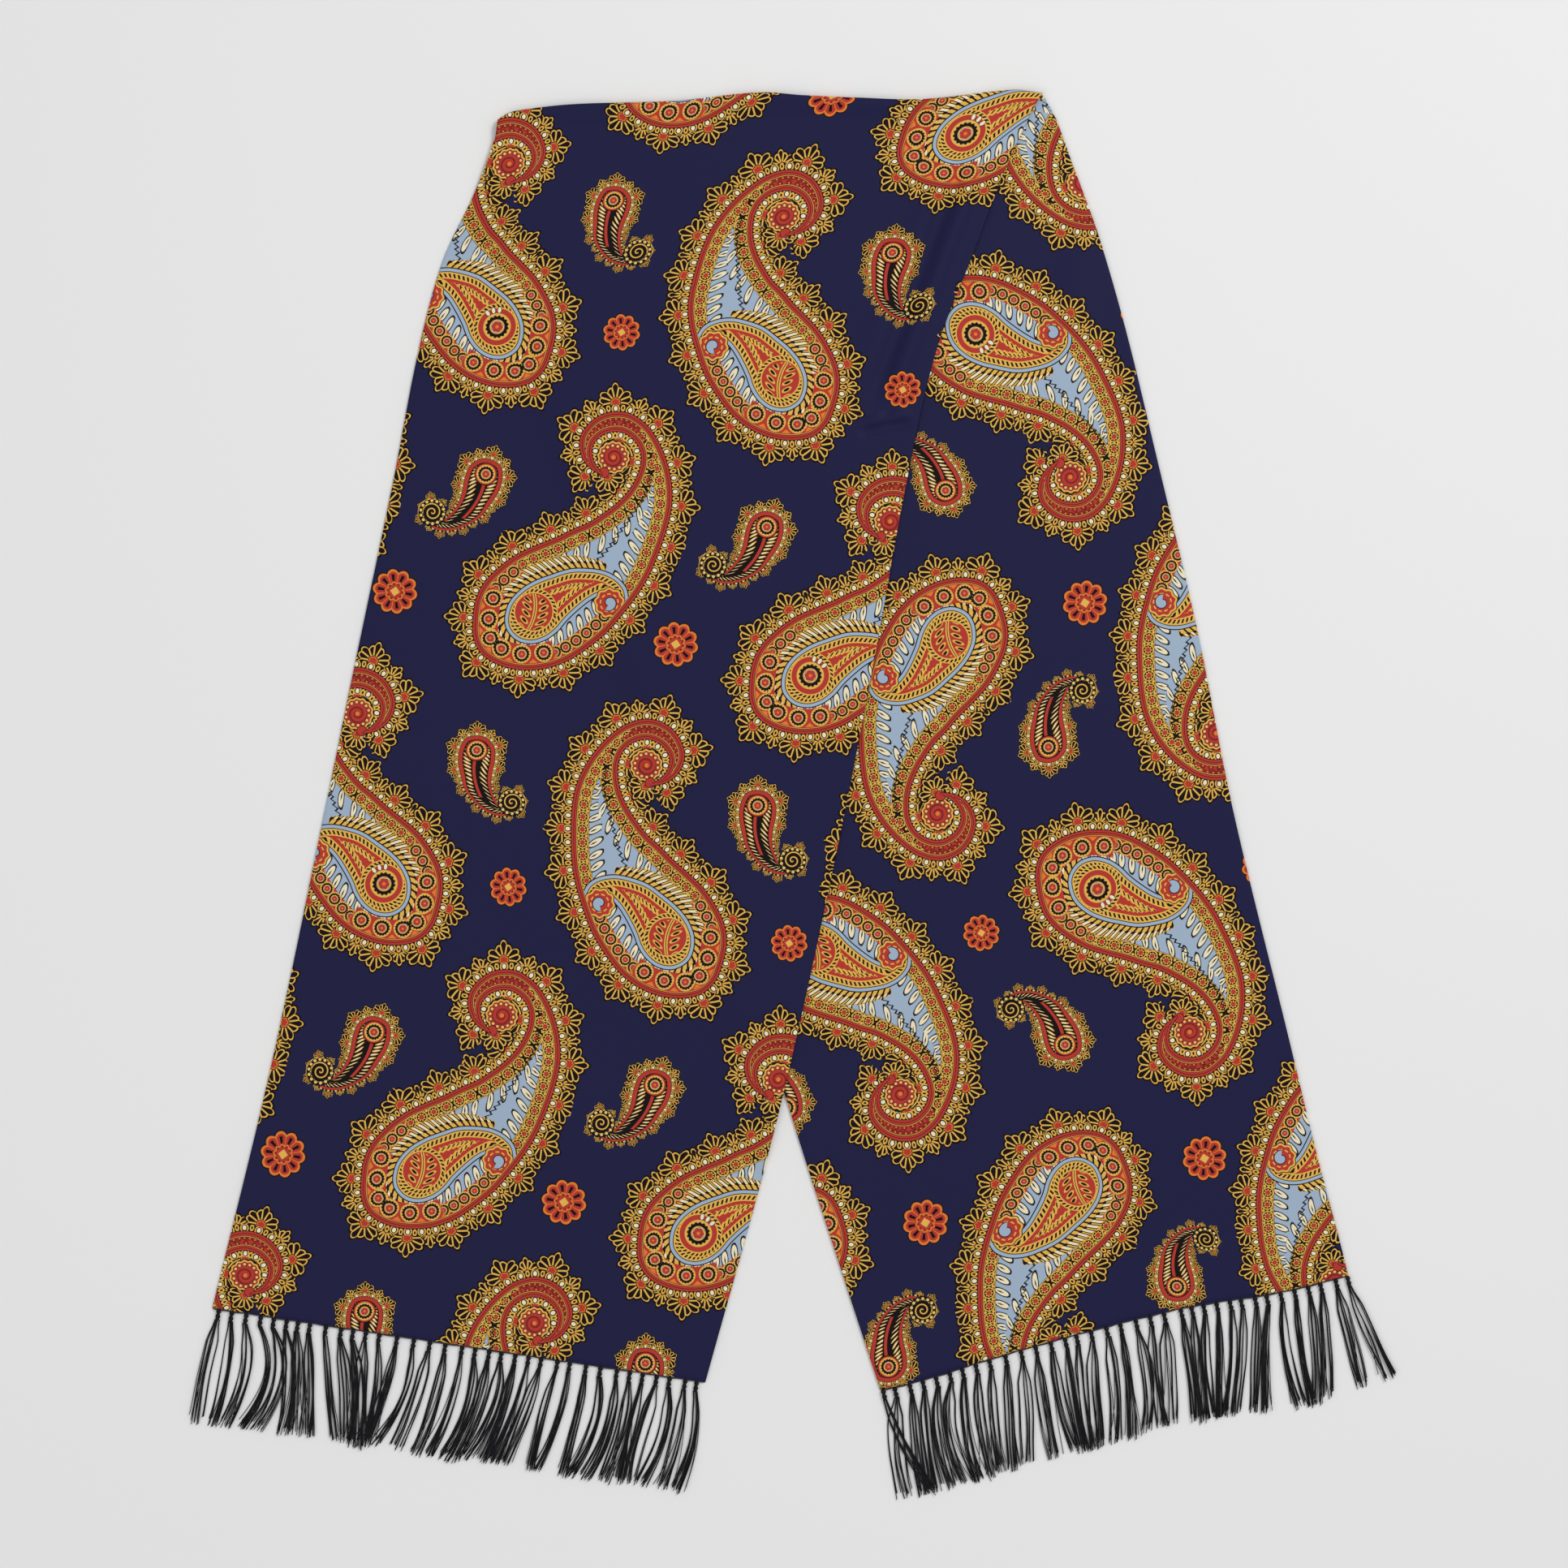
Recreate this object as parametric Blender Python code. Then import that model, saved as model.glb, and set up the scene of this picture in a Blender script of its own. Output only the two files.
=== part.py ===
"""An oblong silk scarf laid flat: folded once across its middle, with its two legs splayed.

The strip is a tube of silk pressed flat, so each leg is two layers lying on each other. The fold is
at the top (+y). The over leg runs down to the left and crosses over the under leg, which runs down
to the right, and each hem carries a row of knotted tassels. The scarf rests on z = 0.

Outline positions are in millimetres from the fold's left corner, x to the right and y up.
"""

import math

import bmesh
import bpy
from mathutils import Vector

MM = 0.001

# Driving sizes, in millimetres
FOLD_LEFT_CORNER = (-160.8, 367.3)  # in the scarf's own frame
WALL = 1.6  # the two pressed layers with the air between them
SEAM = 0.3  # parting between two pieces
SIDE_BULGE = 0.5  # how far a leg's folded long edge stands out beyond its flat faces
HEM_GROOVE = 0.6  # how deep the two layers part at a hem
FOLD_DEPTH = 12.0  # from the fold's outer edge to the seams of the two legs
FOLD_HEIGHT = 5.0
FOLD_SLOT = 1.4  # height of the hollow inside the fold's bend
STEP_NEAR = 9.0  # the over leg is at full height this far before the under leg's edge
STEP_FAR = 30.0  # and back on the ground this far before it

ACROSS_CELLS = 24
FOLD_CELLS = 26
BEND_STEPS = 6
LENGTH_STATIONS = (0.0, 0.02, 0.04, 0.06, 0.08, 0.10, 0.13, 0.16, 0.20, 0.25, 0.30, 0.36, 0.42, 0.48,
                   0.55, 0.62, 0.69, 0.76, 0.84, 0.92, 1.0)

# A leg's outline: share of its length, then its left and its right edge
OVER_LEG = [
    # share, left x, left y, right x, right y
    (0.00, 0.0, 0.0, 296.5, 15.9),
    (0.02, -2.2, -12.8, 288.6, 1.8),
    (0.06, -12.0, -38.9, 276.2, -26.1),
    (0.12, -30.1, -77.9, 260.2, -68.6),
    (0.20, -43.8, -129.7, 238.6, -124.8),
    (0.30, -56.2, -194.3, 222.6, -195.2),
    (0.45, -76.6, -291.7, 203.2, -301.0),
    (0.60, -96.5, -388.6, 182.4, -406.7),
    (0.80, -123.9, -518.3, 150.9, -547.5),
    (1.00, -155.4, -648.0, 112.4, -688.2),
]
UNDER_LEG = [
    # share, left x, left y, right x, right y
    (0.00, 0.0, 0.0, 296.5, 15.9),
    (0.02, 4.0, -13.7, 303.2, 2.7),
    (0.06, 11.5, -41.6, 312.5, -23.5),
    (0.12, 23.9, -82.8, 326.6, -62.4),
    (0.20, 40.3, -138.1, 341.7, -114.6),
    (0.30, 61.1, -207.1, 357.6, -180.1),
    (0.45, 91.6, -310.7, 380.6, -278.0),
    (0.60, 122.6, -414.3, 400.1, -376.2),
    (0.80, 163.3, -552.4, 432.0, -506.8),
    (1.00, 208.9, -690.5, 463.0, -637.3),
]

# How far the fold's edge stands above the straight line between its corners
FOLD_EDGE = [
    # share across, rise
    (0.00, -1.5),
    (0.05, 4.6),
    (0.14, 6.2),
    (0.32, 5.1),
    (0.48, 7.2),
    (0.56, 4.4),
    (0.66, 1.5),
    (0.78, -1.2),
    (0.95, 1.2),
    (1.00, -1.5),
]
FOLD_EDGE_REACH = 0.08  # share of a leg over which that wave dies out

# The largest soft folds in the upper layer, as ridges (height above 0) and troughs
OVER_CREASES = [
    # start x, start y, end x, end y, half width, height
    (252.0, -35.0, 216.0, -140.0, 11.0, -0.5),
    (232.0, -30.0, 196.0, -120.0, 13.0, 0.8),
    (120.0, -95.0, 66.0, -170.0, 16.0, 0.5),
    (-70.0, -420.0, 60.0, -560.0, 30.0, 0.4),
]
UNDER_CREASES = [
    # start x, start y, end x, end y, half width, height
    (318.0, -70.0, 300.0, -190.0, 14.0, 0.5),
    (380.0, -380.0, 330.0, -560.0, 26.0, 0.5),
]

# Tassels: their knotted heads hang from a narrow strip along the hem, 3 locks below each
TASSELS = 35
LOCKS = 3
STRIP_DEPTH = 2.0
STRIP_LOW = 0.2  # its underside, just above the ground
STRIP_HIGH = 1.4
HEAD_RINGS = [
    # distance from the strip, half width, half height
    (0.0, 1.2, 0.60),
    (2.2, 0.8, 0.50),
    (4.2, 1.3, 0.70),
    (6.2, 1.05, 0.50),
]
HEAD_MIDDLE = 0.95  # height of a head's middle above the ground
LOCK_RINGS = [
    # share of the lock, then in shares of the room to the next tassel: how far apart the locks
    # stand and their half width, then their middle height and half height
    (0.30, 0.160, 0.062, 0.85, 0.40),
    (0.65, 0.250, 0.070, 0.75, 0.35),
    (1.00, 0.300, 0.065, 0.65, 0.25),
]
MOST_ROOM = 7.5

# How the tassels lie, at a few of them. The rest lie between.
OVER_TASSELS = [
    # tassel, root moved by pitches, sideways at half length, sideways at the tip, length
    (1, -0.10, -6.6, -11.0, 61.0),
    (3, -0.20, 0.4, -10.0, 61.0),
    (4, 0.00, 3.0, -9.3, 60.0),
    (8, -0.55, 1.0, 0.4, 60.5),
    (9, -0.40, 2.2, 4.0, 60.5),
    (12, -0.50, 0.0, -1.0, 63.0),
    (16, 0.00, -6.6, -16.5, 59.0),
    (20, 0.20, -6.2, -18.0, 60.0),
    (24, -0.10, -9.0, -19.5, 57.0),
    (25, 0.00, -8.0, -13.7, 59.0),
    (28, 0.00, -4.0, -14.5, 59.0),
    (32, 0.10, -7.0, -15.0, 57.5),
    (35, -0.05, -1.8, -10.6, 60.0),
]
UNDER_TASSELS = [
    # tassel, root moved by pitches, sideways at half length, sideways at the tip, length
    (1, -0.25, 2.0, 6.0, 58.0),
    (3, -0.30, 1.8, 5.8, 60.0),
    (8, -0.40, 1.3, 7.5, 60.5),
    (11, -0.05, 2.2, 3.1, 60.0),
    (13, 0.20, 4.0, 12.0, 59.0),
    (16, 0.20, 0.9, 3.5, 63.0),
    (19, 0.60, 5.0, 5.8, 60.0),
    (22, 0.80, 4.0, 7.0, 60.0),
    (25, 0.60, 0.4, 0.0, 62.0),
    (29, 0.40, -2.2, -2.2, 63.0),
    (30, 0.50, 2.2, 9.7, 62.0),
    (33, 0.50, 1.8, 3.5, 61.0),
    (34, 0.50, 5.5, 11.0, 58.5),
    (35, 0.42, 10.5, 22.0, 56.0),
]

SILK_BLUE = (0.014, 0.014, 0.045, 1.0)
THREAD_BLACK = (0.010, 0.010, 0.012, 1.0)


def read_row(rows, at):
    """The columns of a table at any place between its rows, on a smooth curve through them."""
    last = len(rows) - 1
    i = max(k for k in range(last) if rows[k][0] <= at or k == 0)
    span = rows[i + 1][0] - rows[i][0]
    t = (at - rows[i][0]) / span

    def slope(k, column):
        low, high = max(k - 1, 0), min(k + 1, last)
        return (rows[high][column] - rows[low][column]) / (rows[high][0] - rows[low][0])

    values = []
    for column in range(1, len(rows[0])):
        a, b = rows[i][column], rows[i + 1][column]
        slope_a, slope_b = slope(i, column) * span, slope(i + 1, column) * span
        values.append(
            (2 * t**3 - 3 * t**2 + 1) * a + (t**3 - 2 * t**2 + t) * slope_a
            + (3 * t**2 - 2 * t**3) * b + (t**3 - t**2) * slope_b
        )
    return values


def smooth_step(value):
    value = min(max(value, 0.0), 1.0)
    return value * value * (3 - 2 * value)


def leg_point(leg, share, across):
    """A point of a leg from above: share down its length, across from its left edge."""
    left_x, left_y, right_x, right_y = read_row(leg, share)
    wave = read_row(FOLD_EDGE, across)[0] * (1 - smooth_step(share / FOLD_EDGE_REACH))
    x = left_x + (right_x - left_x) * across
    y = left_y + (right_y - left_y) * across + wave
    return Vector((x, y, 0.0))


def hidden_edge_distance(point):
    """How far a point lies to the left of the under leg's left edge, hidden below the over leg."""
    nearest = min(range(len(UNDER_LEG) - 1), key=lambda k: abs(UNDER_LEG[k][2] - point.y))
    low = max(nearest - 1, 0)
    a = Vector(UNDER_LEG[low][1:3])
    b = Vector(UNDER_LEG[low + 2][1:3])
    along = (b - a).normalized()
    offset = point.xy - a
    return -(offset.x * -along.y + offset.y * along.x)


def over_leg_ground(point):
    """Height of the over leg's underside: the ground, or a seam above the under leg."""
    rise = (STEP_FAR - hidden_edge_distance(point)) / (STEP_FAR - STEP_NEAR)
    return (WALL + SEAM) * smooth_step(rise)


def crease_relief(creases, point):
    """Height that the soft folds add to the upper layer."""
    relief = 0.0
    for start_x, start_y, end_x, end_y, half_width, height in creases:
        start, end = Vector((start_x, start_y)), Vector((end_x, end_y))
        along = end - start
        share = (point.xy - start).dot(along) / along.length_squared
        off_line = (point.xy - start - along * share).length
        fade = smooth_step((share + 0.3) / 0.3) * smooth_step((1.3 - share) / 0.3)
        relief += height * fade * smooth_step(1 - off_line / (2 * half_width))
    return relief


def add_ring(mesh, points):
    return [mesh.verts.new(point * MM) for point in points]


def join_rings(mesh, first, second, closed=True):
    count = len(first)
    for i in range(count if closed else count - 1):
        k = (i + 1) % count
        mesh.faces.new((first[i], first[k], second[k], second[i]))


def new_piece(name, mesh, collection, colour, roughness):
    """Turns the finished bmesh into one named object at the fold's corner, with its own material."""
    bmesh.ops.recalc_face_normals(mesh, faces=mesh.faces)
    data = bpy.data.meshes.new(name)
    mesh.to_mesh(data)
    mesh.free()
    piece = bpy.data.objects.new(name, data)
    piece.location = (FOLD_LEFT_CORNER[0] * MM, FOLD_LEFT_CORNER[1] * MM, 0.0)
    collection.objects.link(piece)
    material = bpy.data.materials.new(name + "_finish")
    material.use_nodes = True
    shader = material.node_tree.nodes["Principled BSDF"]
    shader.inputs["Base Color"].default_value = colour
    shader.inputs["Roughness"].default_value = roughness
    shader.inputs["Metallic"].default_value = 0.0
    data.materials.append(material)
    data.shade_smooth()
    data.set_sharp_from_angle(angle=0.7)
    return piece


def build_leg(name, leg, creases, ground, collection):
    """A leg: rings across the flattened tube, joined down its length, with both hem layers parted."""
    first_share = (FOLD_DEPTH + SEAM) / abs(leg[-1][2])
    mesh = bmesh.new()
    rings = []
    for station in LENGTH_STATIONS:
        share = first_share + (1 - first_share) * station
        under, over = [], []
        for cell in range(ACROSS_CELLS + 1):
            point = leg_point(leg, share, cell / ACROSS_CELLS)
            low = ground(point)
            under.append(point + Vector((0, 0, low)))
            over.append(point + Vector((0, 0, low + WALL + crease_relief(creases, point))))
        outward = (under[-1] - under[0]).normalized()
        outward.z = 0.0
        middle_left = (under[0] + over[0]) / 2 - outward * SIDE_BULGE
        middle_right = (under[-1] + over[-1]) / 2 + outward * SIDE_BULGE
        rings.append(add_ring(mesh, under + [middle_right] + over[::-1] + [middle_left]))
    for first, second in zip(rings, rings[1:]):
        join_rings(mesh, first, second)
    for ring, inner in ((rings[0], rings[1]), (rings[-1], rings[-2])):
        close_layered_end(mesh, ring, inner)
    return new_piece(name, mesh, collection, SILK_BLUE, 0.55)


def close_layered_end(mesh, ring, inner):
    """Closes a leg's end with a groove between its two layers."""
    count = ACROSS_CELLS + 1
    under = ring[:count]
    over = ring[count + 1 : 2 * count + 1][::-1]
    middle = [ring[-1]]
    for cell in range(1, ACROSS_CELLS):
        inward = (inner[cell].co - under[cell].co).normalized()
        middle.append(mesh.verts.new((under[cell].co + over[cell].co) / 2 + inward * HEM_GROOVE * MM))
    middle.append(ring[count])
    join_rings(mesh, under, middle, closed=False)
    join_rings(mesh, middle, over, closed=False)


def fold_section():
    """The fold's hairpin section, as pairs of an outer and an inner point.

    Each point is its distance in from the fold's edge, its height, and how much it belongs to the
    over leg (1) or the under leg (0).
    """
    outer, inner = FOLD_HEIGHT / 2, FOLD_SLOT / 2
    upper_low = WALL + SEAM
    lip_middle = FOLD_DEPTH * 0.55
    lip_top = (FOLD_HEIGHT + upper_low + WALL) / 2
    pairs = [((FOLD_DEPTH, 0.0, 0.0), (FOLD_DEPTH, WALL, 0.0)),
             ((lip_middle, 0.0, 0.0), (lip_middle, WALL, 0.0))]
    for step in range(BEND_STEPS + 1):
        turn = step / BEND_STEPS
        out, up = math.sin(math.pi * turn), -math.cos(math.pi * turn)
        pairs.append(((outer - outer * out, outer + outer * up, turn),
                      (outer - inner * out, outer + inner * up, turn)))
    pairs.append(((lip_middle, lip_top, 1.0), (lip_middle, lip_top - WALL, 1.0)))
    pairs.append(((FOLD_DEPTH, upper_low + WALL, 1.0), (FOLD_DEPTH, upper_low, 1.0)))
    return pairs


def fold_point(across, inward, height, belongs):
    """A point of the fold: it follows the outline of the leg that its layer runs on into."""
    over = leg_point(OVER_LEG, inward / abs(OVER_LEG[-1][2]), across)
    under = leg_point(UNDER_LEG, inward / abs(UNDER_LEG[-1][2]), across)
    point = under.lerp(over, belongs)
    point.z = height
    return point


def build_fold(collection):
    """The fold across the scarf's middle: one bend of cloth, open at its two corners."""
    section = fold_section()
    outline = [outer for outer, _ in section] + [inner for _, inner in section[::-1]]
    mesh = bmesh.new()
    rings = []
    for cell in range(FOLD_CELLS + 1):
        across = cell / FOLD_CELLS
        rings.append(add_ring(mesh, [fold_point(across, *spot) for spot in outline]))
    for first, second in zip(rings, rings[1:]):
        join_rings(mesh, first, second)
    half = len(section)
    for ring in (rings[0], rings[-1]):
        join_rings(mesh, ring[:half], ring[half:][::-1], closed=False)
    return new_piece("top_fold", mesh, collection, SILK_BLUE, 0.55)


class Tassel:
    """Where one tassel hangs from its hem, and how it lies."""

    def __init__(self, leg, rows, number):
        shift, self.middle, self.tip, self.length = read_row(rows, number)
        left, right = leg_point(leg, 1.0, 0.0), leg_point(leg, 1.0, 1.0)
        self.along = (right - left).normalized()
        self.out = Vector((self.along.y, -self.along.x, 0.0))
        across = (number - 0.5 + shift) / TASSELS
        self.root = left.lerp(right, across) + self.out * (SEAM + STRIP_DEPTH)

    def centre(self, share):
        """A place down the tassel, from its neck at 0 to its tip at 1."""
        neck = self.root + self.out * HEAD_RINGS[-1][0]
        sideways = 4 * share * (1 - share) * self.middle + share * (2 * share - 1) * self.tip
        return neck + Vector((sideways, -share * (self.length - HEAD_RINGS[-1][0]), 0.0))


def box_ring(mesh, centre, along, half_width, low, high, columns=1):
    """A four-sided ring across a lock or a head, its top and bottom split into columns."""
    offsets = [half_width * (2 * k / columns - 1) for k in range(columns + 1)]
    bottom = [centre + along * offset + Vector((0, 0, low)) for offset in offsets]
    top = [centre + along * offset + Vector((0, 0, high)) for offset in offsets]
    return add_ring(mesh, bottom + top[::-1])


def grow_lock(mesh, root_ring, tassel, side, room):
    """One lock: three lengths of a tapering four-sided strand, grown from its root."""
    previous = root_ring
    for share, apart, half_width, middle, half_height in LOCK_RINGS:
        centre = tassel.centre(share) + tassel.along * (side * apart * room(share))
        ring = box_ring(mesh, centre, tassel.along, half_width * room(share),
                        middle - half_height, middle + half_height)
        join_rings(mesh, previous, ring)
        previous = ring
    mesh.faces.new(previous)


def grow_tassel(mesh, strip_ring, tassel, room):
    """One tassel: its twisted knot, then its locks side by side."""
    previous = strip_ring
    for distance, half_width, half_height in HEAD_RINGS[1:-1]:
        ring = box_ring(mesh, tassel.root + tassel.out * distance, tassel.along, half_width,
                        HEAD_MIDDLE - half_height, HEAD_MIDDLE + half_height)
        join_rings(mesh, previous, ring)
        previous = ring
    distance, half_width, half_height = HEAD_RINGS[-1]
    neck = box_ring(mesh, tassel.root + tassel.out * distance, tassel.along, half_width,
                    HEAD_MIDDLE - half_height, HEAD_MIDDLE + half_height, LOCKS)
    bottom, top = neck[: LOCKS + 1], neck[: LOCKS : -1]
    mesh.faces.new((previous[0], previous[1], *bottom[::-1]))
    mesh.faces.new((previous[3], previous[2], *top[::-1]))
    mesh.faces.new((previous[1], previous[2], top[-1], bottom[-1]))
    mesh.faces.new((previous[3], previous[0], bottom[0], top[0]))
    for lock in range(LOCKS):
        root_ring = [bottom[lock], bottom[lock + 1], top[lock + 1], top[lock]]
        grow_lock(mesh, root_ring, tassel, lock - (LOCKS - 1) / 2, room)


def build_fringe(name, leg, rows, collection):
    """A hem's fringe: a narrow strip parted from the hem, with every tassel grown out of it."""
    tassels = [Tassel(leg, rows, number + 1) for number in range(TASSELS)]
    mesh = bmesh.new()
    half_width, strip_back = HEAD_RINGS[0][1], STRIP_DEPTH

    def strip_section(tassel, sideways):
        front = tassel.root + tassel.along * sideways
        back = front - tassel.out * strip_back
        low, high = Vector((0, 0, STRIP_LOW)), Vector((0, 0, STRIP_HIGH))
        return add_ring(mesh, [back + low, front + low, front + high, back + high])

    sections = []
    for tassel in tassels:
        sections += [strip_section(tassel, -half_width), strip_section(tassel, half_width)]
    for i, (first, second) in enumerate(zip(sections, sections[1:])):
        under_a_head = i % 2 == 0
        for side in range(4):
            if side == 1 and under_a_head:
                continue  # the head grows out of this face
            k = (side + 1) % 4
            mesh.faces.new((first[side], first[k], second[k], second[side]))
    mesh.faces.new(sections[0])
    mesh.faces.new(sections[-1])
    for i, tassel in enumerate(tassels):
        first, second = sections[2 * i], sections[2 * i + 1]
        neighbours = [tassels[k] for k in (i - 1, i + 1) if 0 <= k < TASSELS]

        def room(share):
            here = tassel.centre(share)
            return min([MOST_ROOM] + [(n.centre(share) - here).length for n in neighbours])

        grow_tassel(mesh, [first[1], second[1], second[2], first[2]], tassel, room)
    return new_piece(name, mesh, collection, THREAD_BLACK, 0.6)


def main():
    for old in list(bpy.data.objects):
        bpy.data.objects.remove(old, do_unlink=True)
    scarf = bpy.data.collections.new("oblong_scarf")
    bpy.context.scene.collection.children.link(scarf)
    build_leg("under_leg", UNDER_LEG, UNDER_CREASES, lambda point: 0.0, scarf)
    build_leg("over_leg", OVER_LEG, OVER_CREASES, over_leg_ground, scarf)
    build_fold(scarf)
    build_fringe("under_fringe", UNDER_LEG, UNDER_TASSELS, scarf)
    build_fringe("over_fringe", OVER_LEG, OVER_TASSELS, scarf)


main()
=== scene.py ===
# %% [markdown]
# # An oblong silk scarf, laid flat
# The scarf is a tube of printed silk pressed flat, folded once across its middle, with a row of
# knotted tassels on each hem. This file dresses the plain solids: it lays thin silk shells on them,
# prints the silk with a paisley, and hangs real threads from the hems. The inks of the print are
# drawn by formulas, along the outlines of drops whose points were picked off the photo.

# %% Load the frame
import math
import random

import bpy
import numpy as np
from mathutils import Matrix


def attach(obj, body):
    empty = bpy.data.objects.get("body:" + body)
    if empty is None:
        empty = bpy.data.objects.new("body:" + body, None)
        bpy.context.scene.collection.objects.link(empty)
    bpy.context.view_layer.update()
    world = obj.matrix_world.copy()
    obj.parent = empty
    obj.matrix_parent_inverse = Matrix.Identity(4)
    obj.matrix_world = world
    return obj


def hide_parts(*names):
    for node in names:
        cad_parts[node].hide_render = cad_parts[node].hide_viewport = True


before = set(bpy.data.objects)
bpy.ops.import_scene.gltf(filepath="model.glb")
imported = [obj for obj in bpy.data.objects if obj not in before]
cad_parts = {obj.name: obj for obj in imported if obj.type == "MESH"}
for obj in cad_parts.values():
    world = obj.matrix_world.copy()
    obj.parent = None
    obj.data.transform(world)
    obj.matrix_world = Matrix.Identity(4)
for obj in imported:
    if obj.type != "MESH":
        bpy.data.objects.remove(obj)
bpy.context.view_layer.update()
MM = 0.001

# %% [markdown]
# ## Camera, floor and light
# The scarf is seen from straight above, so the camera hangs over the middle with a long lens. The
# floor is plain and pale, and the light is broad and soft. A small lamp beyond the top right gives
# the edges and folds a faint side, and a wide one opposite and the pale sky fill everything else.

# %% Camera, floor and light
LENS = 100.0
SENSOR = 36.0
PICTURE_WIDTH = 0.8551  # metres of the floor that the picture shows
PICTURE_MIDDLE = (-0.0050, 0.0053)

camera_data = bpy.data.cameras.new("camera")
camera_data.lens = LENS
camera_data.sensor_width = SENSOR
camera = bpy.data.objects.new("camera", camera_data)
camera.location = (*PICTURE_MIDDLE, PICTURE_WIDTH * LENS / SENSOR)
bpy.context.scene.collection.objects.link(camera)
bpy.context.scene.camera = camera
bpy.context.scene.view_settings.view_transform = "Standard"  # printed inks keep their full colour


def plain_material(name, colour, roughness):
    """A Principled material with one colour, for later nodes to build on."""
    material = bpy.data.materials.new(name)
    material.use_nodes = True
    shader = material.node_tree.nodes["Principled BSDF"]
    shader.inputs["Base Color"].default_value = (*colour, 1.0)
    shader.inputs["Roughness"].default_value = roughness
    return material, shader


HALF_FLOOR = 3.0
FLOOR_TOP = -0.0003  # just below the cloth, so that the two never share a plane
floor_mesh = bpy.data.meshes.new("floor")
floor_corners = [(x * HALF_FLOOR, y * HALF_FLOOR, FLOOR_TOP) for x, y in ((-1, -1), (1, -1), (1, 1), (-1, 1))]
floor_mesh.from_pydata(floor_corners, [], [(0, 1, 2, 3)])
floor = bpy.data.objects.new("floor", floor_mesh)
floor_mesh.materials.append(plain_material("pale_floor", (0.80, 0.80, 0.80), 0.9)[0])
bpy.context.scene.collection.objects.link(floor)


def add_lamp(name, place, size, watts):
    """A square lamp that faces the middle of the scarf."""
    light = bpy.data.lights.new(name, "AREA")
    light.size = size
    light.energy = watts
    lamp = bpy.data.objects.new(name, light)
    lamp.location = place
    aim = -np.array(place)
    tilt = math.acos(-aim[2] / np.linalg.norm(aim))
    lamp.rotation_euler = (tilt, 0, math.atan2(aim[1], aim[0]) - math.pi / 2)
    bpy.context.scene.collection.objects.link(lamp)


add_lamp("key_lamp", (1.35, 1.3, 2.4), size=1.1, watts=40.0)
add_lamp("fill_lamp", (-1.5, -1.1, 2.5), size=2.4, watts=21.0)

SKY_STRENGTH = 0.50
world = bpy.data.worlds.new("pale_sky")
world.use_nodes = True
world.node_tree.nodes["Background"].inputs["Color"].default_value = (1.0, 1.0, 1.0, 1.0)
world.node_tree.nodes["Background"].inputs["Strength"].default_value = SKY_STRENGTH
bpy.context.scene.world = world
print("Camera, floor and two lamps are set")

# %% [markdown]
# ## How the cloth lies
# The solids come from a few short tables: the two edges of each leg, the wave of the fold's edge
# and the largest soft folds. The shells need the same form with far more points, so the tables are
# repeated here. Places are in millimetres from the fold's left corner, x to the right and y up.
# Two things are finer here than in the solids: the narrow creases beside the over leg's free edge,
# and the bow of the under leg's hem, which is straight in the solids.

# %% The form of the cloth
FOLD_LEFT_CORNER = (-160.8, 367.3)
WALL = 1.6
SEAM = 0.3
SIDE_BULGE = 0.5
FOLD_DEPTH = 12.0
FOLD_HEIGHT = 5.0
STEP_NEAR = 9.0
STEP_FAR = 30.0

OVER_LEG = [
    # share, left x, left y, right x, right y
    (0.00, 0.0, 0.0, 296.5, 15.9),
    (0.02, -2.2, -12.8, 288.6, 1.8),
    (0.06, -12.0, -38.9, 276.2, -26.1),
    (0.12, -30.1, -77.9, 260.2, -68.6),
    (0.20, -43.8, -129.7, 238.6, -124.8),
    (0.30, -56.2, -194.3, 222.6, -195.2),
    (0.45, -76.6, -291.7, 203.2, -301.0),
    (0.60, -96.5, -388.6, 182.4, -406.7),
    (0.80, -123.9, -518.3, 150.9, -547.5),
    (1.00, -155.4, -648.0, 112.4, -688.2),
]
UNDER_LEG = [
    # share, left x, left y, right x, right y
    (0.00, 0.0, 0.0, 296.5, 15.9),
    (0.02, 4.0, -13.7, 303.2, 2.7),
    (0.06, 11.5, -41.6, 312.5, -23.5),
    (0.12, 23.9, -82.8, 326.6, -62.4),
    (0.20, 40.3, -138.1, 341.7, -114.6),
    (0.30, 61.1, -207.1, 357.6, -180.1),
    (0.45, 91.6, -310.7, 380.6, -278.0),
    (0.60, 122.6, -414.3, 400.1, -376.2),
    (0.80, 163.3, -552.4, 432.0, -506.8),
    (1.00, 208.9, -690.5, 463.0, -637.3),
]
UNDER_HEM_REACH = 0.14  # share of the leg over which the bow of its hem fades out
UNDER_HEM_RISE = [
    # share across, rise of the bowed hem above the line in the last row of UNDER_LEG
    (0.00, -2.0), (0.08, -1.5), (0.25, 2.8), (0.42, 6.0),
    (0.62, 8.2), (0.70, 7.9), (0.85, 5.8), (1.00, 7.0),
]
FOLD_EDGE = [
    # share across, rise above the straight line between the fold's corners
    (0.00, 0.2), (0.02, 3.4), (0.05, 4.8), (0.14, 6.2), (0.32, 5.1), (0.48, 7.2),
    (0.56, 4.4), (0.66, 1.5), (0.78, -1.2), (0.95, 1.2), (1.00, -1.5),
]
FOLD_EDGE_REACH = 0.08  # share of a leg over which that wave dies out
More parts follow.
